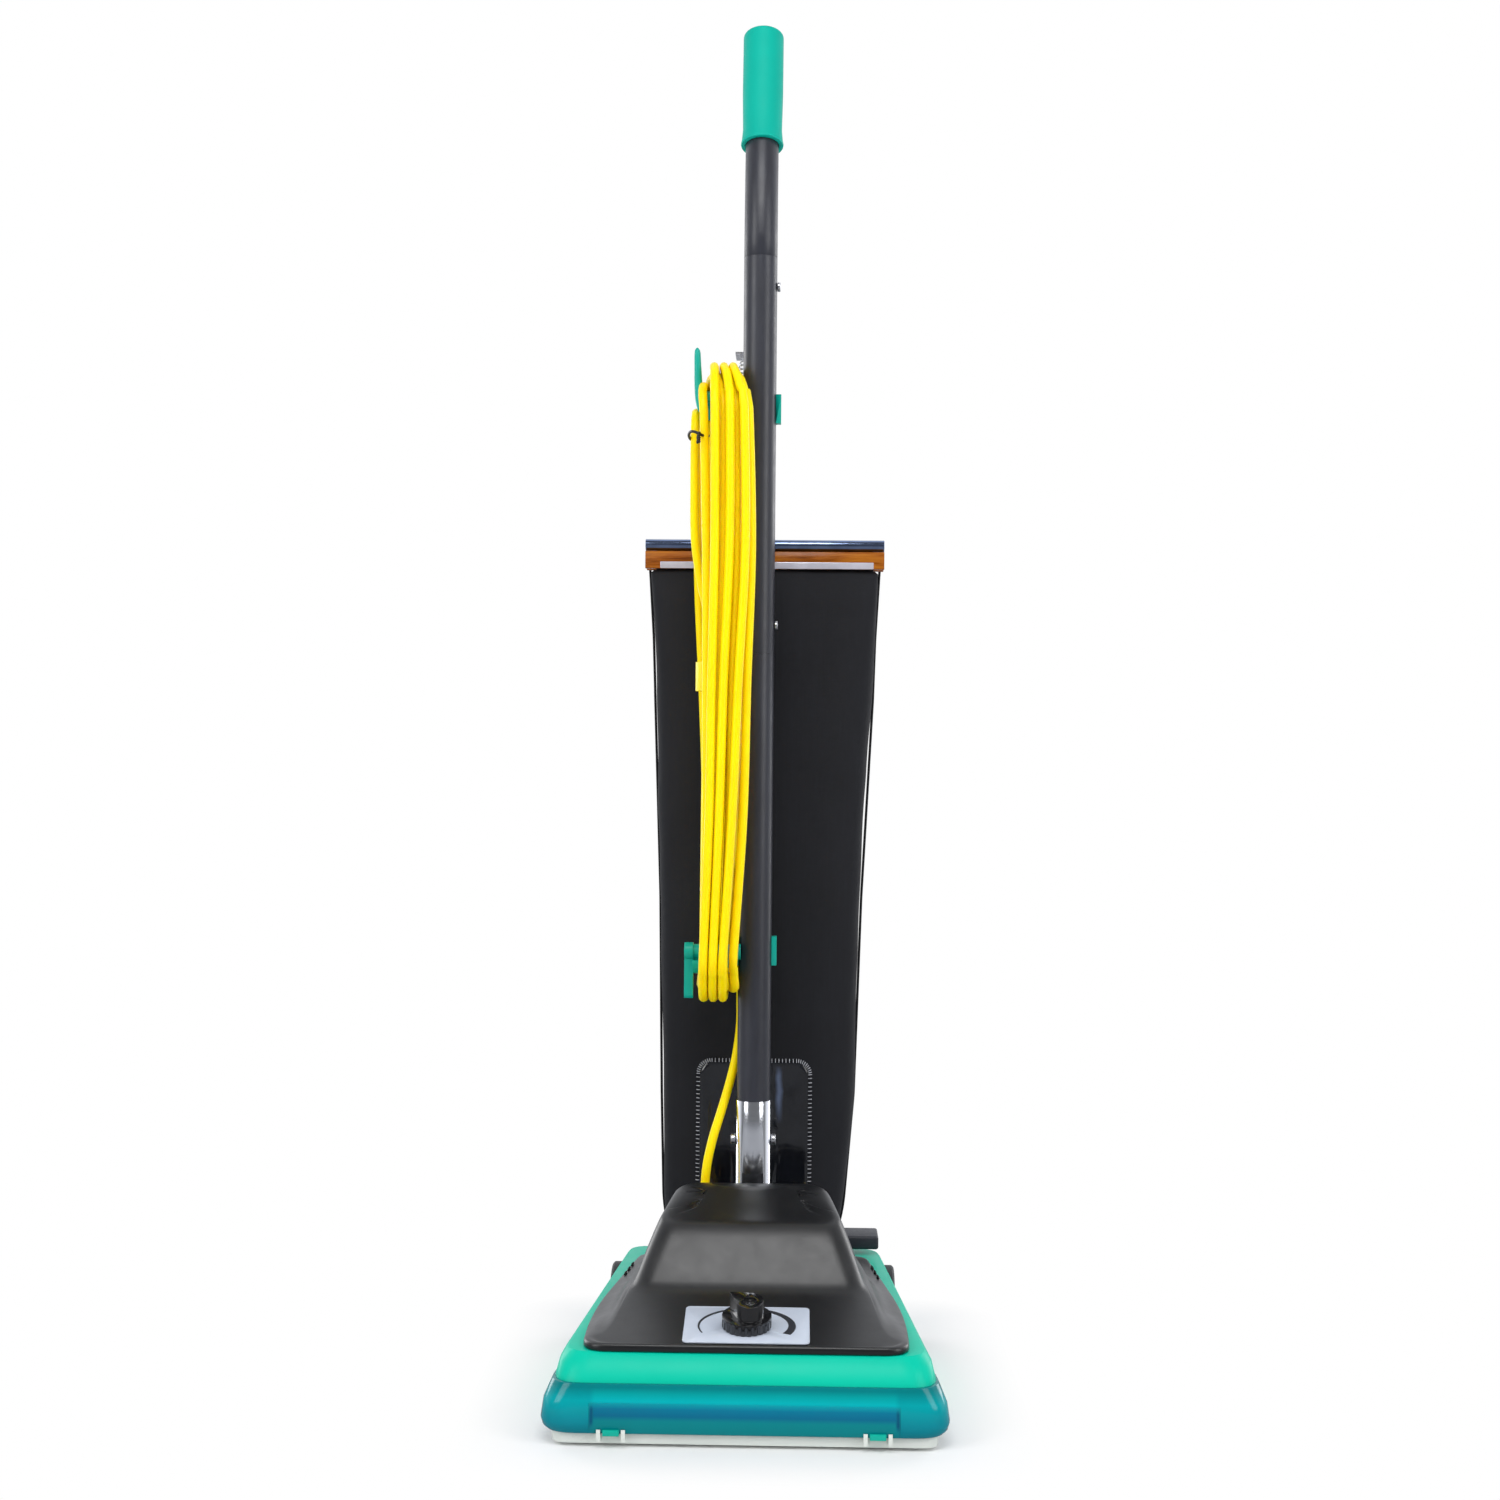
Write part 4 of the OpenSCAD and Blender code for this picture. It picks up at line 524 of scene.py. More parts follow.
window_sheet = window_vinyl_painted_reflection()
guard_teal_painted_light = guard_vinyl_painted_light()
enamel = tube_enamel()
foil = label_foil()
amber = clamp_painted_reflection()
windings = copper_windings()
beech = beech_core()
dark_chrome = metal("dark rolled chrome", (0.20, 0.26, 0.42, 1), (0.06, 0.2), (20, 300, 300), 0.25, 0.35)
silver_strip = moulded("bright clamp strip", linear(206, 204, 216), (0.14, 0.28), 400, 0.1, 0.12, 60,
                       metallic=0.35)
label_ink = moulded("label dark ink", linear(34, 36, 44), (0.4, 0.5), 1500, 0.1, 0.1)
# painted shade: near-black matte standing for the shade inside the hood's vent openings
vent_painted_shade = moulded("vent slot painted shade", linear(12, 12, 13), (0.7, 0.85), 1500, 0.3, 0.2)

# ---------------------------------------------------------------- cord: lead, hank, tail and plug

CORD = 0.008
TURN = 24                                # points in a turn, of which eight steps make each bend
OUT, CLIMB, TAIL = 80, 4, 236            # points in a layer, in a climb to the next, and in all
ARC_STEP = math.radians(22.5)
PITCH, FOLD = 0.0086, 0.024              # from turn to turn, and the inmost bend's radius
HANK_X, HOOK_Y, TOP, LOW = -0.0215, 0.058, 0.845, 0.363


def mix(a, b, t):
    return a + (b - a) * t


def along_line(line, z):
    """The value at z on a line through (z, value) points."""
    for (z0, a), (z1, b) in zip(line, line[1:]):
        if z <= z1:
            return mix(a, b, max(0.0, (z - z0) / (z1 - z0)))
    return line[-1][1]


def wound(n):
    """A point of the winding: over the top, down the front, round the bottom and up the back."""
    second, out_again = OUT + CLIMB, 2 * OUT + CLIMB
    third = out_again + CLIMB
    if n <= OUT:
        column, layer = n, 0.0
    elif n <= second:
        column, layer = OUT, (n - OUT) / CLIMB
    elif n <= out_again:
        column, layer = OUT - (n - second), 1.0
    elif n <= third:
        column, layer = 0.0, 1 + (n - out_again) / CLIMB
    else:
        column, layer = n - third, 2.0
    j = n % TURN
    r = FOLD + PITCH * layer
    x = HANK_X - PITCH * column / TURN
    if 5 <= j < 12:
        right = max(0.0, min(1.0, (x + 0.048) / 0.024))
        belly = (0.0025, 0.0060, 0.0095, 0.0125, 0.0150, 0.0105, 0.0070, 0.0035)
        x += belly[j - 5] * (0.25 + 0.75 * right) + 0.0010 * math.sin(1.9 * (n // TURN) + 0.8 * j)
    if j <= 8:
        y, z = HOOK_Y + r * math.cos(ARC_STEP * j), TOP + r * math.sin(ARC_STEP * j)
    elif j < 12:
        y, z = HOOK_Y - r, mix(TOP, LOW, (j - 8) / 4)
    elif j <= 20:
        a = ARC_STEP * (j - 12)
        y, z = HOOK_Y - r * math.cos(a), LOW - r * math.sin(a)
    else:
        y, z = HOOK_Y + r, mix(LOW, TOP, (j - 20) / 4)
    ahead = max(0.0, min(1.0, (0.068 - y) / 0.020))
    x += (0.0075 * max(0.0, 1 - abs(layer - 1)) - 0.0012) * ahead
    return (x, y, z)


def in_metres(points):
    return [tuple(c / 1000.0 for c in p) for p in points]


lead_route = in_metres([(-43, 62, 125), (-43, 62, 134), (-43, 62, 150), (-41, 63, 172), (-36, 66, 195),
                        (-29, 72, 218), (-22, 80, 242), (-16, 86, 268), (-13, 89, 295), (-13, 89, 319),
                        (-13, 89, 328)])
hank_start = in_metres([(-13, 89, 328), (-13, 89, 337), (-13, 88, 356), (-13, 88, 376), (-15, 86, 430),
                        (-18, 83, 520), (-20, 82, 640), (-21, 82, 760)])
hank_tail = in_metres([(-46, 99, 480), (-50, 99, 590), (-55, 98, 690), (-57, 98, 770), (-57, 98, 824)])
tail_turn = [(-0.057, 0.074 + FOLD * math.cos(a), 0.824 + FOLD * math.sin(a))
             for a in (ARC_STEP * i for i in range(1, 8))]
tail_end = in_metres([(-57, 50, 824), (-57, 49, 780), (-56, 49, 730), (-50, 53, 690), (-43, 57, 660),
                      (-41, 58, 645), (-41, 58, 636)])
hank_route = hank_start + [wound(n) for n in range(TAIL + 1)] + hank_tail + tail_turn + tail_end


lead_path = smooth_path(lead_route, 0.006)
lead = keep("cord_lead_flex", hose(lead_path, CORD / 2, 20), cord_vinyl, 180)
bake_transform(lead)
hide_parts("cord_lead")

hank_path = smooth_path(hank_route, 0.008)
curve = bpy.data.curves.new("cord_wound_hank", "CURVE")
curve.dimensions = "3D"
curve.bevel_depth = CORD / 2
curve.bevel_resolution = 3
curve.use_fill_caps = True
spline = curve.splines.new("POLY")
spline.points.add(len(hank_path) - 1)
for point, at in zip(spline.points, hank_path):
    point.co = (*at, 1.0)
spline.use_smooth = True
curve.materials.append(cord_vinyl)
hank = bpy.data.objects.new("cord_wound_hank", curve)
bpy.context.collection.objects.link(hank)
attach(hank, "handle")
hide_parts("cord_hank")

plug = moulding("cord_plug", "cord_plug_moulding", plug_vinyl, 0.0009, 2)

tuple(lead_route[0])
tuple(lead_route[-1])


def cord_tie():
    """Twist tie round the outer strands, with its two ends twisted together."""
    centre = Vector((-0.0535, 0.0440, 0.8225))
    loop = [centre + Vector((0.0086 * math.cos(a), 0.0165 * math.sin(a), 0.002 * math.sin(2 * a)))
            for a in (2 * math.pi * k / 40 for k in range(41))]
    bm = hose(loop, 0.0013, 8, Vector((0, 0, 1)))
    for start in (0, math.pi):
        ends = [centre + Vector((0.001 + 0.0012 * math.cos(start + 0.9 * k), -0.0168 - 0.0003 * k,
                                 -0.0006 * k + 0.0012 * math.sin(start + 0.9 * k))) for k in range(16)]
        absorb(bm, hose(ends, 0.0009, 6, Vector((0, 0, 1))))
    new_piece("cord_twist_tie", bm, tie_black, "handle", 180)


cord_tie()

# ---------------------------------------------------------------- base: housing, guard, sole

FRONT = -0.185                           # Y of the guard's and the sole's front
LIFT = 0.0030                            # guard, sole and tabs are drawn this far above their solids
moulding("nozzle_housing", "housing_green_shell", housing_green, 0.0012, 2, 48)
for piece in (moulding("bumper_guard", "guard_teal_shell", guard_teal_painted_light, 0.0007, 2, 40),
              moulding("sole_plate", "sole_pressed_plate", sole_enamel, 0.0006, 2)):
    for v in piece.data.vertices:
        v.co.z += LIFT


def sole_tabs():
    """Two tabs between the sole's ears, standing just above its pressed front edge."""
    bm = bmesh.new()
    for side in (-1, 1):
        low, high = sorted((side * 0.0972, side * 0.1101))
        absorb(bm, box_shape((low, FRONT, 0.0074 + LIFT), (high, FRONT + 0.006, 0.0123 + LIFT), 0.0006, 2))
    piece = new_piece("sole_latch_tabs", bm, latch_green, "base")
    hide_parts("sole_latches")


sole_tabs()


def smooth_step(t):
    t = max(0.0, min(1.0, t))
    return t * t * (3 - 2 * t)


def ahead_of_dome(y):
    """Nothing beside the dome, one at the lip across the front."""
    return smooth_step((-0.072 - y) / 0.070)


def rim(y):
    """Height of the green housing's top edge, which rises a little to the rear."""
    return 0.069 + (0.006 / 0.318) * (y + 0.163)


def deck(y):
    """Height of the sloping deck, then of the foot of the dome's sides."""
    return 0.0739 + 0.172 * (y + 0.155) if y < -0.066 else 0.0892 + 0.0077 * (y + 0.066) / 0.111


def skirt(front, shoulder, rear, side_up, front_up, radii=(0.020, 0.055, 0.014)):
    """Ring near the green rim: low along the sides, up to the lip's height across the front."""
    def height(y):
        return rim(y) + mix(side_up, front_up, ahead_of_dome(y))
    return plan_ring((front, shoulder, rear), radii, height)


def sweep(front, shoulder, rear, share, radii=(0.018, 0.055, 0.018)):
    """Ring on the flare between the rim and the deck; share is how far up it is."""
    def height(y):
        climb = mix(share, 1.0, ahead_of_dome(y))
        return mix(rim(y) + 0.0036, deck(y), climb)
    return plan_ring((front, shoulder, rear), radii, height)


def dome(front, rear, z_front, z_rear, radii):
    shoulder = (mix(front[0], rear[0], 0.45), mix(front[1], rear[1], 0.45))
    def height(y):
        z = mix(z_front, z_rear, (y - front[1]) / (rear[1] - front[1]))
        return z + 0.0022 * smooth_step((z - 0.0915) / 0.045)
    return plan_ring((front, shoulder, rear), (radii[0], 0.012, radii[1]), height)


def hood_shell():
    """Front lip, flared sides, sloping deck and dome drawn as one soft-edged moulding."""
    rings = [
        skirt((0.1262, -0.1595), (0.1280, -0.060), (0.1010, 0.115), 0.0003, 0.0003),
        skirt((0.1290, -0.1622), (0.1306, -0.060), (0.1036, 0.1178), 0.0003, 0.0003),
        skirt((0.1293, -0.1625), (0.1309, -0.060), (0.1039, 0.1180), 0.0010, 0.0014),
        skirt((0.1293, -0.1625), (0.1309, -0.060), (0.1039, 0.1180), 0.0018, 0.0036),
        skirt((0.1288, -0.1620), (0.1304, -0.060), (0.1034, 0.1175), 0.0026, 0.0056),
        skirt((0.1276, -0.1608), (0.1292, -0.060), (0.1022, 0.1165), 0.0031, 0.0064),
        skirt((0.1252, -0.1592), (0.1266, -0.060), (0.1000, 0.1140), 0.0036, 0.0069),
        sweep((0.1215, -0.1570), (0.1215, -0.050), (0.0985, 0.0640), 0.08),
        sweep((0.1180, -0.1545), (0.1150, -0.045), (0.0965, 0.0590), 0.24),
        sweep((0.1150, -0.1500), (0.1100, -0.040), (0.0945, 0.0550), 0.50),
        sweep((0.1120, -0.1440), (0.1065, -0.036), (0.0925, 0.0520), 0.80),
        sweep((0.1080, -0.1300), (0.1040, -0.034), (0.0905, 0.0500), 1.00),
        sweep((0.1040, -0.0950), (0.1015, -0.032), (0.0888, 0.0485), 1.04),
        dome((0.1015, -0.0715), (0.0872, 0.0470), 0.0915, 0.1065, (0.018, 0.018)),
        dome((0.0985, -0.0660), (0.0852, 0.0462), 0.0950, 0.1095, (0.019, 0.018)),
        dome((0.0950, -0.0590), (0.0822, 0.0450), 0.1030, 0.1180, (0.020, 0.018)),
        dome((0.0890, -0.0480), (0.0755, 0.0430), 0.1180, 0.1345, (0.021, 0.018)),
        dome((0.0835, -0.0385), (0.0690, 0.0412), 0.1305, 0.1480, (0.021, 0.017)),
        dome((0.0808, -0.0330), (0.0655, 0.0400), 0.1358, 0.1545, (0.020, 0.016)),
        dome((0.0792, -0.0305), (0.0635, 0.0390), 0.1380, 0.1570, (0.019, 0.015)),
        dome((0.0765, -0.0275), (0.0600, 0.0372), 0.1395, 0.1583, (0.018, 0.015)),
        dome((0.0715, -0.0230), (0.0555, 0.0340), 0.1408, 0.1589, (0.016, 0.014)),
        dome((0.0480, -0.0080), (0.0380, 0.0230), 0.1452, 0.1590, (0.012, 0.010)),
    ]
    bm = loft(rings)
    lowest = min(bm.faces, key=lambda f: f.calc_center_median().z)
    bmesh.ops.delete(bm, geom=[lowest], context="FACES_ONLY")
    slot_x, slot_y = 0.031, 0.050
    planes = (((slot_x, 0, 0), (1, 0, 0)), ((-slot_x, 0, 0), (1, 0, 0)), ((0, slot_y, 0), (0, 1, 0)))
    for at, facing in planes:
        cut(bm, at, facing)
    middles = [(f, f.calc_center_median()) for f in bm.faces]
    inside = [f for f, middle in middles if abs(middle.x) < slot_x and middle.y > slot_y]
    bmesh.ops.delete(bm, geom=inside, context="FACES")
    return bm


shell = keep("hood_black_shell", hood_shell(), hood_satin, 180)
wall = shell.modifiers.new("wall", "SOLIDIFY")
wall.thickness = 0.0022
wall.offset = -1.0
render_levels(shell, 1)
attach(shell, "base")
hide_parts("motor_hood")


DECK_TILT = math.radians(9.76)
KNOB_Y, KNOB_Z = -0.125, 0.07916


def knob_frame(x, y, z):
    """A point of the knob's own frame, which lies on the sloping deck."""
    c, s = math.cos(DECK_TILT), math.sin(DECK_TILT)
    return Vector((x, KNOB_Y + y * c - z * s, KNOB_Z + y * s + z * c))


def speed_arc():
    """Printed arc on the dial plate, thin at its left end and broad at its right one."""
    steps, radius, squash, top = 48, 0.0394, 0.8, 0.00190
    rings = []
    for i in range(steps + 1):
        a = math.radians(mix(205, -28, i / steps))
        outer, inner = radius + 0.0001, radius - mix(0.0009, 0.0066, i / steps)
        rings.append([knob_frame(r * math.cos(a), squash * r * math.sin(a), z)
                      for r, z in ((inner, top - 0.0006), (outer, top - 0.0006), (outer, top), (inner, top))])
    new_piece("hood_speed_arc", loft(rings), label_ink, "base", 30)


speed_arc()


def vent_slots():
    """Three dark louvres in a row at the foot of each of the dome's sides: painted shade of the vent
    openings, drawn as matte bumps, not holes.
    """
    bm = bmesh.new()
    for side in (-1, 1):
        for k in range(3):
            a = Vector((side * (0.1128 - 0.0019 * k), 0.040 + 0.0145 * k, 0))
            b = Vector((side * (0.1117 - 0.0019 * k), 0.0505 + 0.0145 * k, 0))
            for p in (a, b):
                p.z = rim(p.y) + 0.0042
            slot = hose([a, (a + b) / 2, b], 0.0011, 8, Vector((0, 0, 1)),
                        lambda u: 0.6 + 0.4 * math.sin(math.pi * u))
            absorb(bm, slot)
    new_piece("hood_vent_slots", bm, vent_painted_shade, "base")


vent_slots()
moulding("dial_plate", "hood_label_plate", foil, 0.0002, 1)
moulding("height_knob", "hood_height_knob", knob_gloss, 0.0009, 2, 35)
moulding("hood_screws", "hood_pan_screws", steel_black, 0.0004, 2)
moulding("cord_gland", "cord_strain_relief", cord_vinyl, 0.0003, 1)


def release_paddle():
    """Foot bar with a turned-down front lip, on the node's own hinge barrel and latch tongue."""
    bm = solid_of("release_pedal")
    root, tip = 0.0675, 0.1160
    cut(bm, (root, 0, 0), (1, 0, 0), clear=True)
    profile = [(0.1262, 0.0806), (0.1312, 0.0806), (0.1318, 0.0866), (0.1618, 0.0866), (0.1618, 0.0930),
               (0.1262, 0.0930)]
    bar = bar_along_x(profile, root - 0.0015, tip)
    soften_edges(bar, 0.0024, 4)
    absorb(bm, bar)
    piece = new_piece("pedal_release_paddle", bm, pedal_plastic, "handle_release")
    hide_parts("release_pedal")


release_paddle()
moulding("switch_pedal", "pedal_switch_rocker", pedal_plastic, 0.0007, 2)
moulding("pedal_bracket", "pedal_hinge_bracket", steel_black, 0.0004, 2)
moulding("exhaust_duct", "duct_outlet_tube", hub_plastic, 0.0005, 2)
moulding("collar_clamp", "duct_collar_clamp", brass_dull, 0.0003, 2)
moulding("handle_socket", "handle_chrome_socket", chrome, 0.0006, 2)
for node in ("lower_tube", "middle_tube", "top_tube"):
    moulding(node, "handle_" + node, enamel, 0.0003, 1)
moulding("hand_grip", "handle_vinyl_grip", grip_vinyl, 0.0004, 2, 50)
moulding("handle_screws", "handle_bolt_and_screws", steel_zinc, 0.0005, 2)


CORD_EDGE_X = -0.0530                    # left of this, hooks and their pins show no plain solid


def hook_part(node, body, points=None):
    """The node's mesh as far as the cord's left edge, with a tapering finger where there are points."""
    bm = solid_of(node)
    cut(bm, (CORD_EDGE_X, 0, 0), (-1, 0, 0), clear=True)
    close_cuts(bm)
    if points:
        path = smooth_path([Vector((x, HOOK_Y, z)) for x, z, r in points], 0.0015)
        low, high = points[0][1], points[-1][1]
        widths = [((z - low) / (high - low), r) for x, z, r in points]
        absorb(bm, hose(path, 1.0, 16, Vector((1, 0, 0)), lambda u: along_line(widths, u)))
    piece = new_piece("hook_" + node, bm, hook_green, body)
    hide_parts(node)


hook_part("hook_clip", "handle")
hook_part("cord_hook", "upper_hook", [
    (-0.0480, 0.8440, 0.0030), (-0.0516, 0.8490, 0.0036), (-0.0536, 0.8570, 0.0038),
    (-0.0547, 0.8700, 0.0037), (-0.0554, 0.8860, 0.0032), (-0.0558, 0.8990, 0.0028),
    (-0.0560, 0.9020, 0.0021), (-0.0560, 0.9036, 0.0008)])
moulding("lower_hook", "hook_lower_hook", hook_green, 0.0009, 3)


def spring_strap():
    """The strap's part behind the tube, with its tab over the spring."""
    behind_tube = 0.0795
    bm = solid_of("spring_bracket")
    cut(bm, (0, behind_tube, 0), (0, -1, 0), clear=True)
    close_cuts(bm)
    piece = new_piece("spring_top_strap", bm, steel_zinc, "handle")
    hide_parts("spring_bracket")


spring_strap()
moulding("bag_hanger", "bag_hanger_strap", steel_zinc, 0.0002, 1)
for side in ("left", "right"):
    moulding(side + "_tyre", "wheel_" + side + "_tyre", tyre_rubber, 0.0006, 2)
    moulding(side + "_hub", "wheel_" + side + "_hub", hub_plastic, 0.0005, 2)
    moulding(side + "_roller", "roller_" + side, nylon_white, 0.0005, 2)

plain_finish = {
    "brush_chamber": steel_zinc, "brush_ends": hub_plastic, "drive_belt": belt_rubber,
    "air_duct": alloy_cast, "motor_case": alloy_cast, "motor_bearings": steel_zinc,
    "fan_housing": alloy_cast, "pivot_bracket": steel_black, "pivot_pin": steel_zinc,
    "rear_axle": steel_zinc, "switch_body": hub_plastic, "pedal_pin": steel_zinc,
    "pedal_spring": steel_zinc, "motor_shaft": steel_zinc, "armature": windings,
    "impeller": alloy_cast, "brush_core": beech, "bristles": nylon_bristle,
    "front_carriage": steel_zinc, "front_axle": steel_zinc, "knob_cam": knob_gloss,
}
for node, finish in plain_finish.items():
    solid = frame["nodes"][node]
    solid.data.materials.clear()
    solid.data.materials.append(finish)

# ---------------------------------------------------------------- bag

BAG_X = 0.005                            # middle of the bag's mouth
NECK_Z, NECK_Y = 0.7125, 0.1275
BAG_Y, BAG_BACK, BAG_LOW = 0.109, 0.185, 0.100
bag_half_width = [(0.100, 0.0825), (0.129, 0.0842), (0.222, 0.0893), (0.407, 0.0935), (0.592, 0.1014),
                  (0.648, 0.1028), (0.685, 0.1046), (0.7125, 0.1060)]
bag_middle = [(0.100, -0.0010), (0.129, -0.0005), (0.222, 0.0022), (0.407, 0.0036), (0.592, 0.0050),
              (0.7125, 0.0050)]


def bag_ring(z, count=72):
    k = math.sqrt(min(1.0, max(0.0, (NECK_Z - z) / 0.110)))
    front = mix(NECK_Y - 0.006, BAG_Y, min(1.0, 2 * k))
    back = mix(NECK_Y + 0.006, BAG_BACK, k)
    half = along_line(bag_half_width, z)
    low = min(1.0, max(0.0, (z - BAG_LOW) / 0.030))
    draw_in = 1.0 - 0.035 * (1 - low) ** 2
    middle, deep = (front + back) / 2, (back - front) / 2
    power = mix(9.0, 4.2, k)
    ring = []
    for i in range(count):
        a = 2 * math.pi * i / count
        c, s = math.cos(a), math.sin(a)
        r = (abs(c) ** power + abs(s) ** power) ** (-1 / power)
        x, y = half * draw_in * r * c, deep * draw_in * r * s
        swell = k * 0.004 * math.sin(math.pi * (z - BAG_LOW) / (NECK_Z - BAG_LOW)) * (1 - abs(c))
        y *= 1 + (0.9 * swell / deep if s > 0 else 0.0)
        ring.append(Vector((along_line(bag_middle, z) + x, middle + y, z)))
    return ring


levels = [0.1004, 0.1012, 0.1035, 0.108, 0.115] + [0.115 + 0.0149 * i for i in range(1, 38)]
levels = sorted(levels + [0.672, 0.684, 0.694, 0.702, 0.708, 0.7125])


def bag_shell():
    bm = loft([bag_ring(z) for z in levels])
    foot = min(bm.faces, key=lambda f: f.calc_center_median().z)
    bmesh.ops.inset_region(bm, faces=[foot], thickness=0.02, depth=0.0)
    return bm


def wrinkled(bm):
    """Soft hanging folds, stronger near the mouth and towards the sides, with dents only where the strap
    lies.
    """
    for v in bm.verts:
        p = v.co
        side = max(0.0, min(1.0, (abs(p.x - BAG_X) - 0.02) / 0.05))
        high = max(0.0, min(1.0, (p.z - 0.45) / 0.25))
        fold = noise.noise(Vector((p.x * 38, 3.1, p.z * 5))) * 0.0016 * high
        dent = noise.noise(Vector((p.x * 11, p.y * 9 + 4.0, p.z * 7))) * 0.0028
        crease = abs(noise.noise(Vector((p.x * 20 + 9, p.y * 10, p.z * 14)))) * 0.0018
        push = (fold + dent - crease) * (0.35 + 0.65 * side)
        if p.y < 0.13 and p.z > 0.66:
            push = min(push, 0.0)
        v.co = p + v.normal * max(-0.004, min(0.0012, push))


bm = bag_shell()
bm.normal_update()
wrinkled(bm)
bag = keep("bag_cloth_sack", bm, bag_cloth_finish, 60)
render_levels(bag, 1)
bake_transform(bag)
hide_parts("dust_bag", "bag_skirt", "bag_window")


def front_of_bag(x, z, proud):
    """A point on the bag's front wall."""
    half = along_line(bag_half_width, z)
    c = max(-0.999, min(0.999, (x - along_line(bag_middle, z)) / half))
    y = (1 - abs(c) ** 4.2) ** (1 / 4.2)
    return Vector((x, (BAG_Y + BAG_BACK) / 2 - (BAG_BACK - BAG_Y) / 2 * y - proud, z))


def window_outline(inset, n=10):
    """Rounded top corners, square foot."""
    x0, x1, z0, z1 = -0.0508 + inset, 0.0500 - inset, 0.141 + inset, 0.2570 - inset
    r = 0.012 - 0.6 * inset

    def corner(x, start):
        turns = [start + math.pi / 2 * i / n for i in range(n)]
        return [(x + r * math.cos(a), z1 - r + r * math.sin(a)) for a in turns]

    pts = [(mix(x0, x1, i / 12), z0) for i in range(12)]
    pts += [(x1, mix(z0, z1 - r, i / 14)) for i in range(14)] + corner(x1 - r, 0.0)
    pts += [(mix(x1 - r, x0 + r, i / 12), z1) for i in range(12)] + corner(x0 + r, math.pi / 2)
    return pts + [(x0, mix(z1 - r, z0, i / 14)) for i in range(14)]


def bag_window():
    rings = []
    for inset, proud in ((0.0, 0.0002), (0.0004, 0.0012), (0.004, 0.0015), (0.006, 0.0013)):
        rings.append([front_of_bag(x, z, proud) for x, z in window_outline(inset)])
    centre = Vector((-0.0005, 0, 0.200))
    for k in (0.8, 0.55, 0.3, 0.1):
        ring = []
        for x, z in window_outline(0.006):
            px, pz = mix(centre.x, x, k), mix(centre.z, z, k)
            ripple = noise.noise(Vector((px * 30, 1.7, pz * 22)))
            ring.append(front_of_bag(px, pz, 0.0012 + 0.0011 * ripple))
        rings.append(ring)
    return keep("bag_window_pane", loft(rings), window_sheet, 60)


def window_stitches():
    """Overlock stitches across the window's edge."""
    bm = bmesh.new()
    path = [front_of_bag(x, z, 0.0) for x, z in window_outline(-0.0012)]
    path.append(path[0])
    fine = smooth_path(path, 0.0034)
    for i in range(len(fine) - 1):
        p = fine[i]
        if p.z < 0.1425:
            continue
        along = (fine[i + 1] - p).normalized()
        out = Vector((along.z, 0, -along.x))
        a = p + out * 0.0015 + Vector((0, -0.0008, 0))
        b = p - out * 0.0018 + Vector((0, -0.0021, 0))
        absorb(bm, hose([a, (a + b) / 2 + Vector((0, -0.0005, 0)), b], 0.00038, 5, along))
    return keep("bag_window_stitches", bm, thread_finish, 180)


def across(piece):
    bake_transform(piece)


across(bag_window())
across(window_stitches())


def bag_side_seams():
    """Felled seams down both sides."""
    bm = bmesh.new()
    for side in (0, 1):
        rows = []
        for z in [0.104 + 0.006 * i for i in range(102)]:
            ring = bag_ring(z)
            rows.append(ring[36 * side] + Vector((0.0006 - 0.0012 * side, -0.004, 0)))
        absorb(bm, hose(rows, 0.0012, 8, Vector((0, 1, 0))))
    across(keep("bag_side_seams", bm, binding_finish, 180))


bag_side_seams()


def bag_neck():
    """The cloth's folded mouth inside the clamp."""
    wide, thick = 0.101, 0.0055
    bm = box_shape((BAG_X - wide, NECK_Y - thick, 0.7070), (BAG_X + wide, NECK_Y + thick, 0.7368), 0.002, 3)
    new_piece("bag_folded_mouth", bm, bag_cloth_finish, "handle")


bag_neck()


def bag_clamp():
    """Rolled dark top, amber channel whose amber is a painted reflection, and a bright strip along its foot.
    """
    x0, x1 = BAG_X - 0.1105, BAG_X + 0.1105
    y0, y1, top, foot = 0.115, 0.140, 0.7385, 0.7112

    def channel(points, name, finish, a, b):
        bm = bar_along_x(points, a, b)
        soften_edges(bm, 0.0003, 2, 50)
        return new_piece(name, bm, finish, "top_clamp", 50)

    def arc(cy, cz, r, a0, a1, n=8):
        turns = [math.radians(mix(a0, a1, i / n)) for i in range(n + 1)]
        return [(cy + r * math.cos(a), cz + r * math.sin(a)) for a in turns]

    mouth = 0.0066
    body = [(y0, foot), (y0, top - 0.012), (y0 + 0.0006, top - 0.0112), (y1 - 0.0006, top - 0.0112),
            (y1, top - 0.012), (y1, foot), (NECK_Y + mouth, foot), (NECK_Y + mouth, top - 0.0125),
            (NECK_Y - mouth, top - 0.0125), (NECK_Y - mouth, foot)]
    piece = channel(body, "clamp_channel_painted_reflection", amber, x0, x1)
    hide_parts("bag_clamp")
    bead = 0.0052
    roll = arc(y0 + bead, top - bead, bead, 250, 90) + arc(y1 - bead, top - bead, bead, 90, -70)
    roll += [(NECK_Y + mouth, top - 0.0108), (NECK_Y + mouth, top - 0.0016),
             (NECK_Y - mouth, top - 0.0016), (NECK_Y - mouth, top - 0.0108)]
    channel(roll, "clamp_rolled_top", dark_chrome, x0, x1)
    bright = box_shape((x0 + 0.014, y0 - 0.0012, foot), (x1 - 0.010, y0 + 0.0004, foot + 0.0062), 0.0005, 2)
    new_piece("clamp_bright_strip", bright, silver_strip, "top_clamp")


bag_clamp()


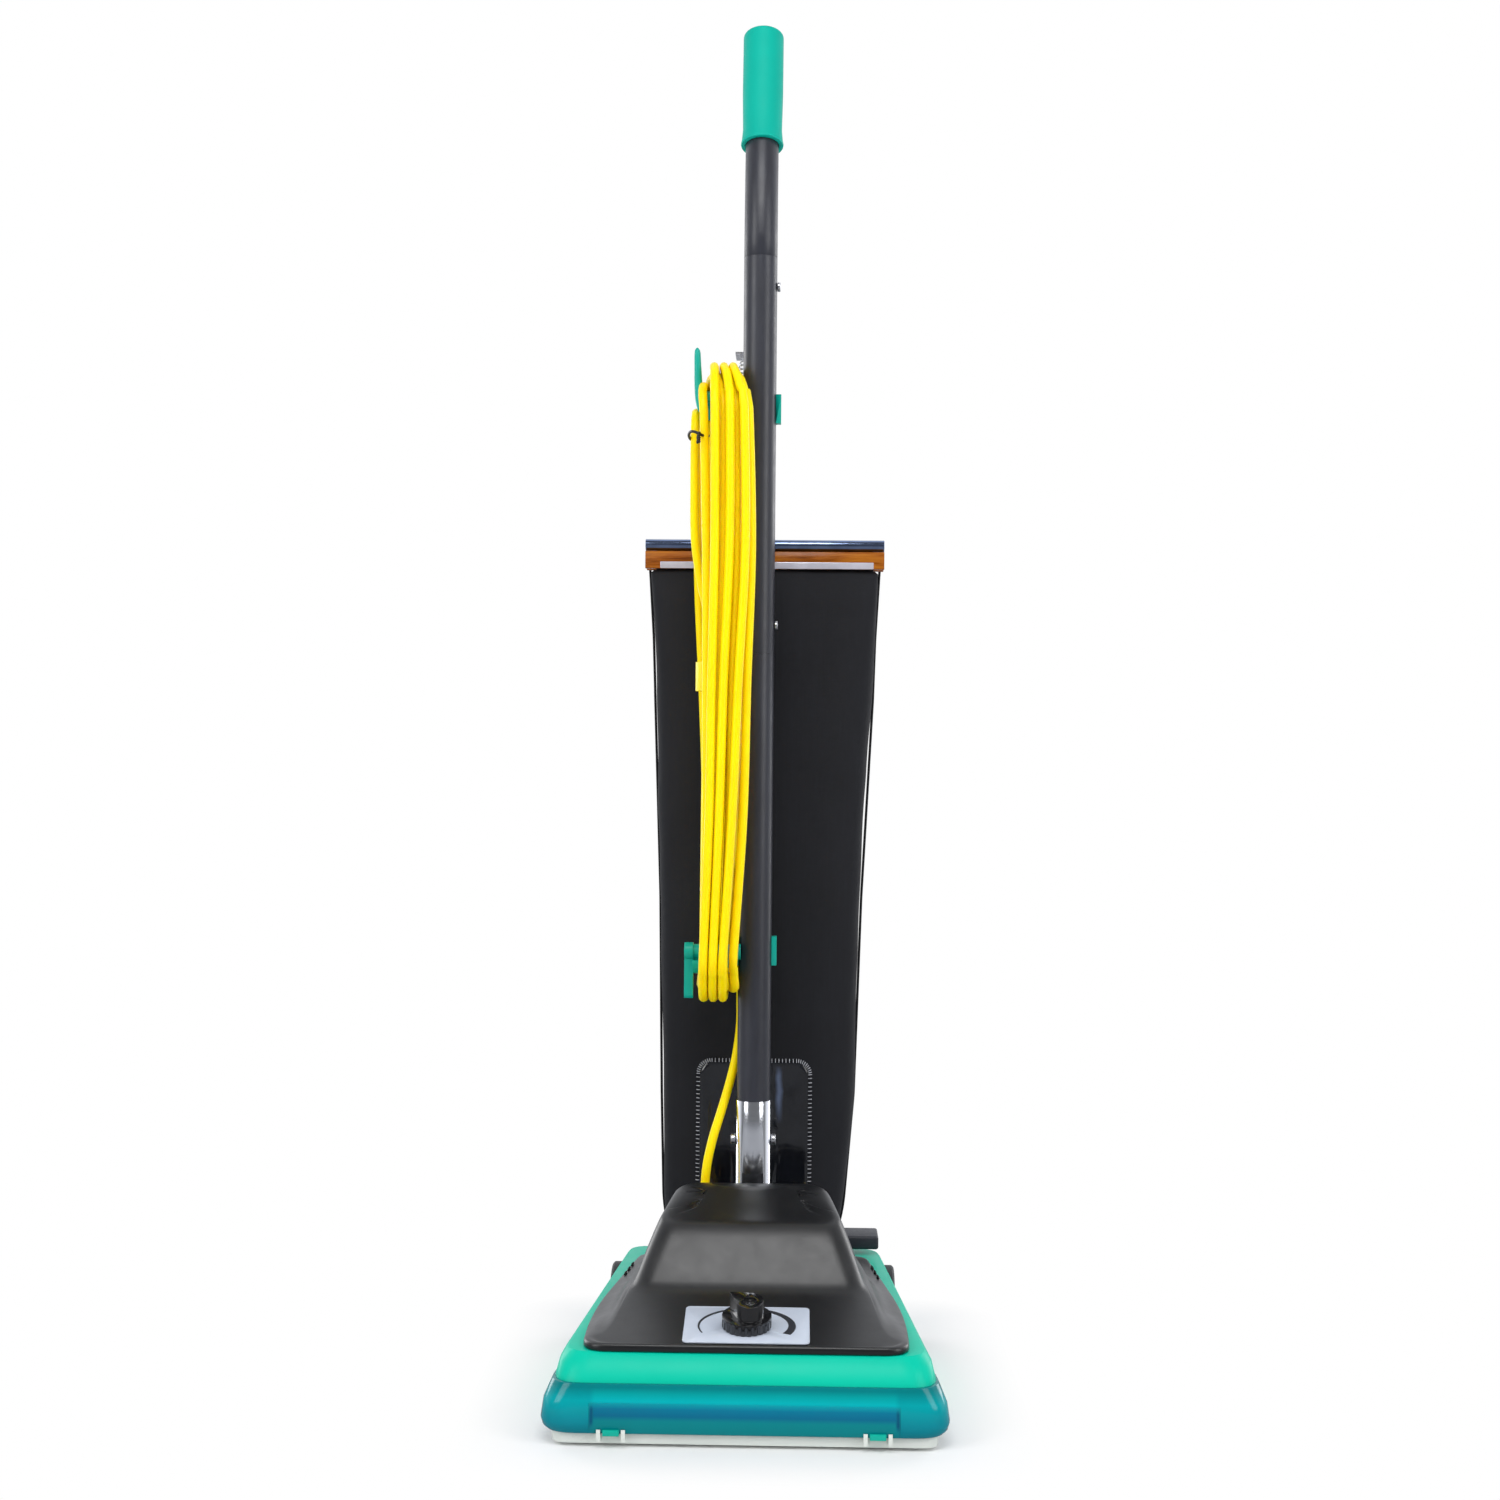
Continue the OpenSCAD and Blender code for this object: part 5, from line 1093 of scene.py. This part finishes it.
def bag_spring():
    """Close-wound extension spring with a hooked eye at its lower end only."""
    turns, r0, z0, z1 = 40, 0.0035, 0.7535, 0.9018
    x, y, wire = -0.0175, 0.1082, 0.0006
    path = []
    for i in range(turns * 16 + 1):
        u = i / (turns * 16)
        r = r0 * min(1.0, (1 - u) * 10 + 0.35, u * 14 + 0.4)
        a = 2 * math.pi * i / 16
        path.append(Vector((x + r * math.cos(a), y + r * math.sin(a), mix(z0, z1, u))))
    coil = hose(path, wire, 8, Vector((0, 0, 1)))
    piece = new_piece("spring_coil", coil, steel_zinc, "handle", 180)
    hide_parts("bag_spring")
    eye = [Vector((x + 0.0022 * math.cos(a), y, 0.7512 + 0.0040 * math.sin(a)))
           for a in (2 * math.pi * k / 24 for k in range(25))]
    new_piece("spring_end_eye", hose(eye, wire, 8, Vector((0, 1, 0))), steel_zinc, "handle", 180)


bag_spring()

# ---------------------------------------------------------------- floor and light

def studio_floor():
    """White floor: lit near the machine and plain white to the camera further off."""
    f = Finish("studio floor", roughness=0.6)
    f.colour(f.tints(f.grain(3.0, 3.0), (0.3, (0.90, 0.90, 0.91, 1)), (0.7, (0.93, 0.93, 0.93, 1))))

    def past(axis, reach):
        over = f.math("SUBTRACT", f.math("ABSOLUTE", f.axis(axis)), reach)
        return f.math("POWER", f.math("MAXIMUM", over, 0.0), 2.0)

    def glow(colour, strength):
        node = f.add("ShaderNodeEmission")
        node.inputs[0].default_value = colour
        node.inputs[1].default_value = strength
        return node.outputs[0]

    def shared(fac, a, b):
        node = f.add("ShaderNodeMixShader")
        for socket, value in zip(node.inputs, (fac, a, b)):
            f.link(value, socket)
        return node.outputs[0]

    ray = f.add("ShaderNodeLightPath").outputs
    beyond = f.math("POWER", f.math("ADD", past("X", 0.158), past("Y", 0.184)), 0.5)
    away = f.math("MULTIPLY", f.between(beyond, 0.0, 1.0, 0.004, 0.075), ray["Is Camera Ray"])
    seen = shared(away, f.skin.outputs[0], glow((1, 1, 1, 1), 1.0))
    mirror = f.math("MULTIPLY", ray["Is Glossy Ray"], 0.8)
    out = next(n for n in f.tree.nodes if n.type == "OUTPUT_MATERIAL")
    f.link(shared(mirror, seen, glow((0.86, 0.90, 1.0, 1), 0.22)), out.inputs[0])

    bm = bmesh.new()
    bmesh.ops.create_grid(bm, x_segments=2, y_segments=2, size=6.0)
    keep("studio_floor", bm, f.mat)


def studio_sky():
    """White to the camera, dim as a light, and bright to the rear in reflections."""
    world = bpy.data.worlds.new("studio_sky")
    world.use_nodes = True
    bpy.context.scene.world = world
    nodes, links = world.node_tree.nodes, world.node_tree.links
    nodes.clear()
    out = nodes.new("ShaderNodeOutputWorld")
    swap = nodes.new("ShaderNodeMixShader")
    ray = nodes.new("ShaderNodeLightPath")
    dim, bright = nodes.new("ShaderNodeBackground"), nodes.new("ShaderNodeBackground")
    dim.inputs[0].default_value = (0.94, 0.96, 1.0, 1)
    bright.inputs[0].default_value = (1, 1, 1, 1)
    way = nodes.new("ShaderNodeSeparateXYZ")
    links.new(nodes.new("ShaderNodeTexCoord").outputs["Generated"], way.inputs[0])
    backdrop = nodes.new("ShaderNodeMapRange")
    for key, value in (("From Min", -0.25), ("From Max", 0.15), ("To Min", 0.16), ("To Max", 1.0)):
        backdrop.inputs[key].default_value = value
    links.new(way.outputs["Y"], backdrop.inputs["Value"])
    sky = nodes.new("ShaderNodeMix")
    sky.data_type = "FLOAT"
    sky.inputs[2].default_value = 0.42
    links.new(ray.outputs["Is Glossy Ray"], sky.inputs[0])
    links.new(backdrop.outputs["Result"], sky.inputs[3])
    links.new(sky.outputs[0], dim.inputs[1])
    most = nodes.new("ShaderNodeMath")
    most.operation = "MAXIMUM"
    links.new(ray.outputs["Is Camera Ray"], most.inputs[0])
    links.new(ray.outputs["Is Transmission Ray"], most.inputs[1])
    links.new(most.outputs[0], swap.inputs[0])
    links.new(dim.outputs[0], swap.inputs[1])
    links.new(bright.outputs[0], swap.inputs[2])
    links.new(swap.outputs[0], out.inputs[0])


def softbox(name, at, aim_height, size, power):
    """A lamp that looks at the middle of the machine at the given height."""
    light = bpy.data.lights.new(name, "AREA")
    light.shape = "RECTANGLE"
    light.size, light.size_y = size
    light.energy = power
    lamp = bpy.data.objects.new(name, light)
    bpy.context.collection.objects.link(lamp)
    lamp.location = at
    lamp.rotation_euler = (Vector((0, 0, aim_height)) - Vector(at)).to_track_quat("-Z", "Y").to_euler()


studio_floor()
studio_sky()
softbox("overhead_softbox", (0.0, -1.40, 2.20), 0.2, (1.2, 1.0), 23)
softbox("left_softbox", (-1.7, -1.5, 1.3), 0.45, (0.9, 1.8), 22)
softbox("right_softbox", (1.8, -1.3, 1.2), 0.45, (0.9, 1.8), 20)
softbox("left_rear_softbox", (-1.6, 1.3, 0.8), 0.3, (0.8, 1.6), 14)
softbox("right_rear_softbox", (1.6, 1.3, 0.8), 0.3, (0.8, 1.6), 14)
bpy.context.scene.view_settings.view_transform = "Standard"
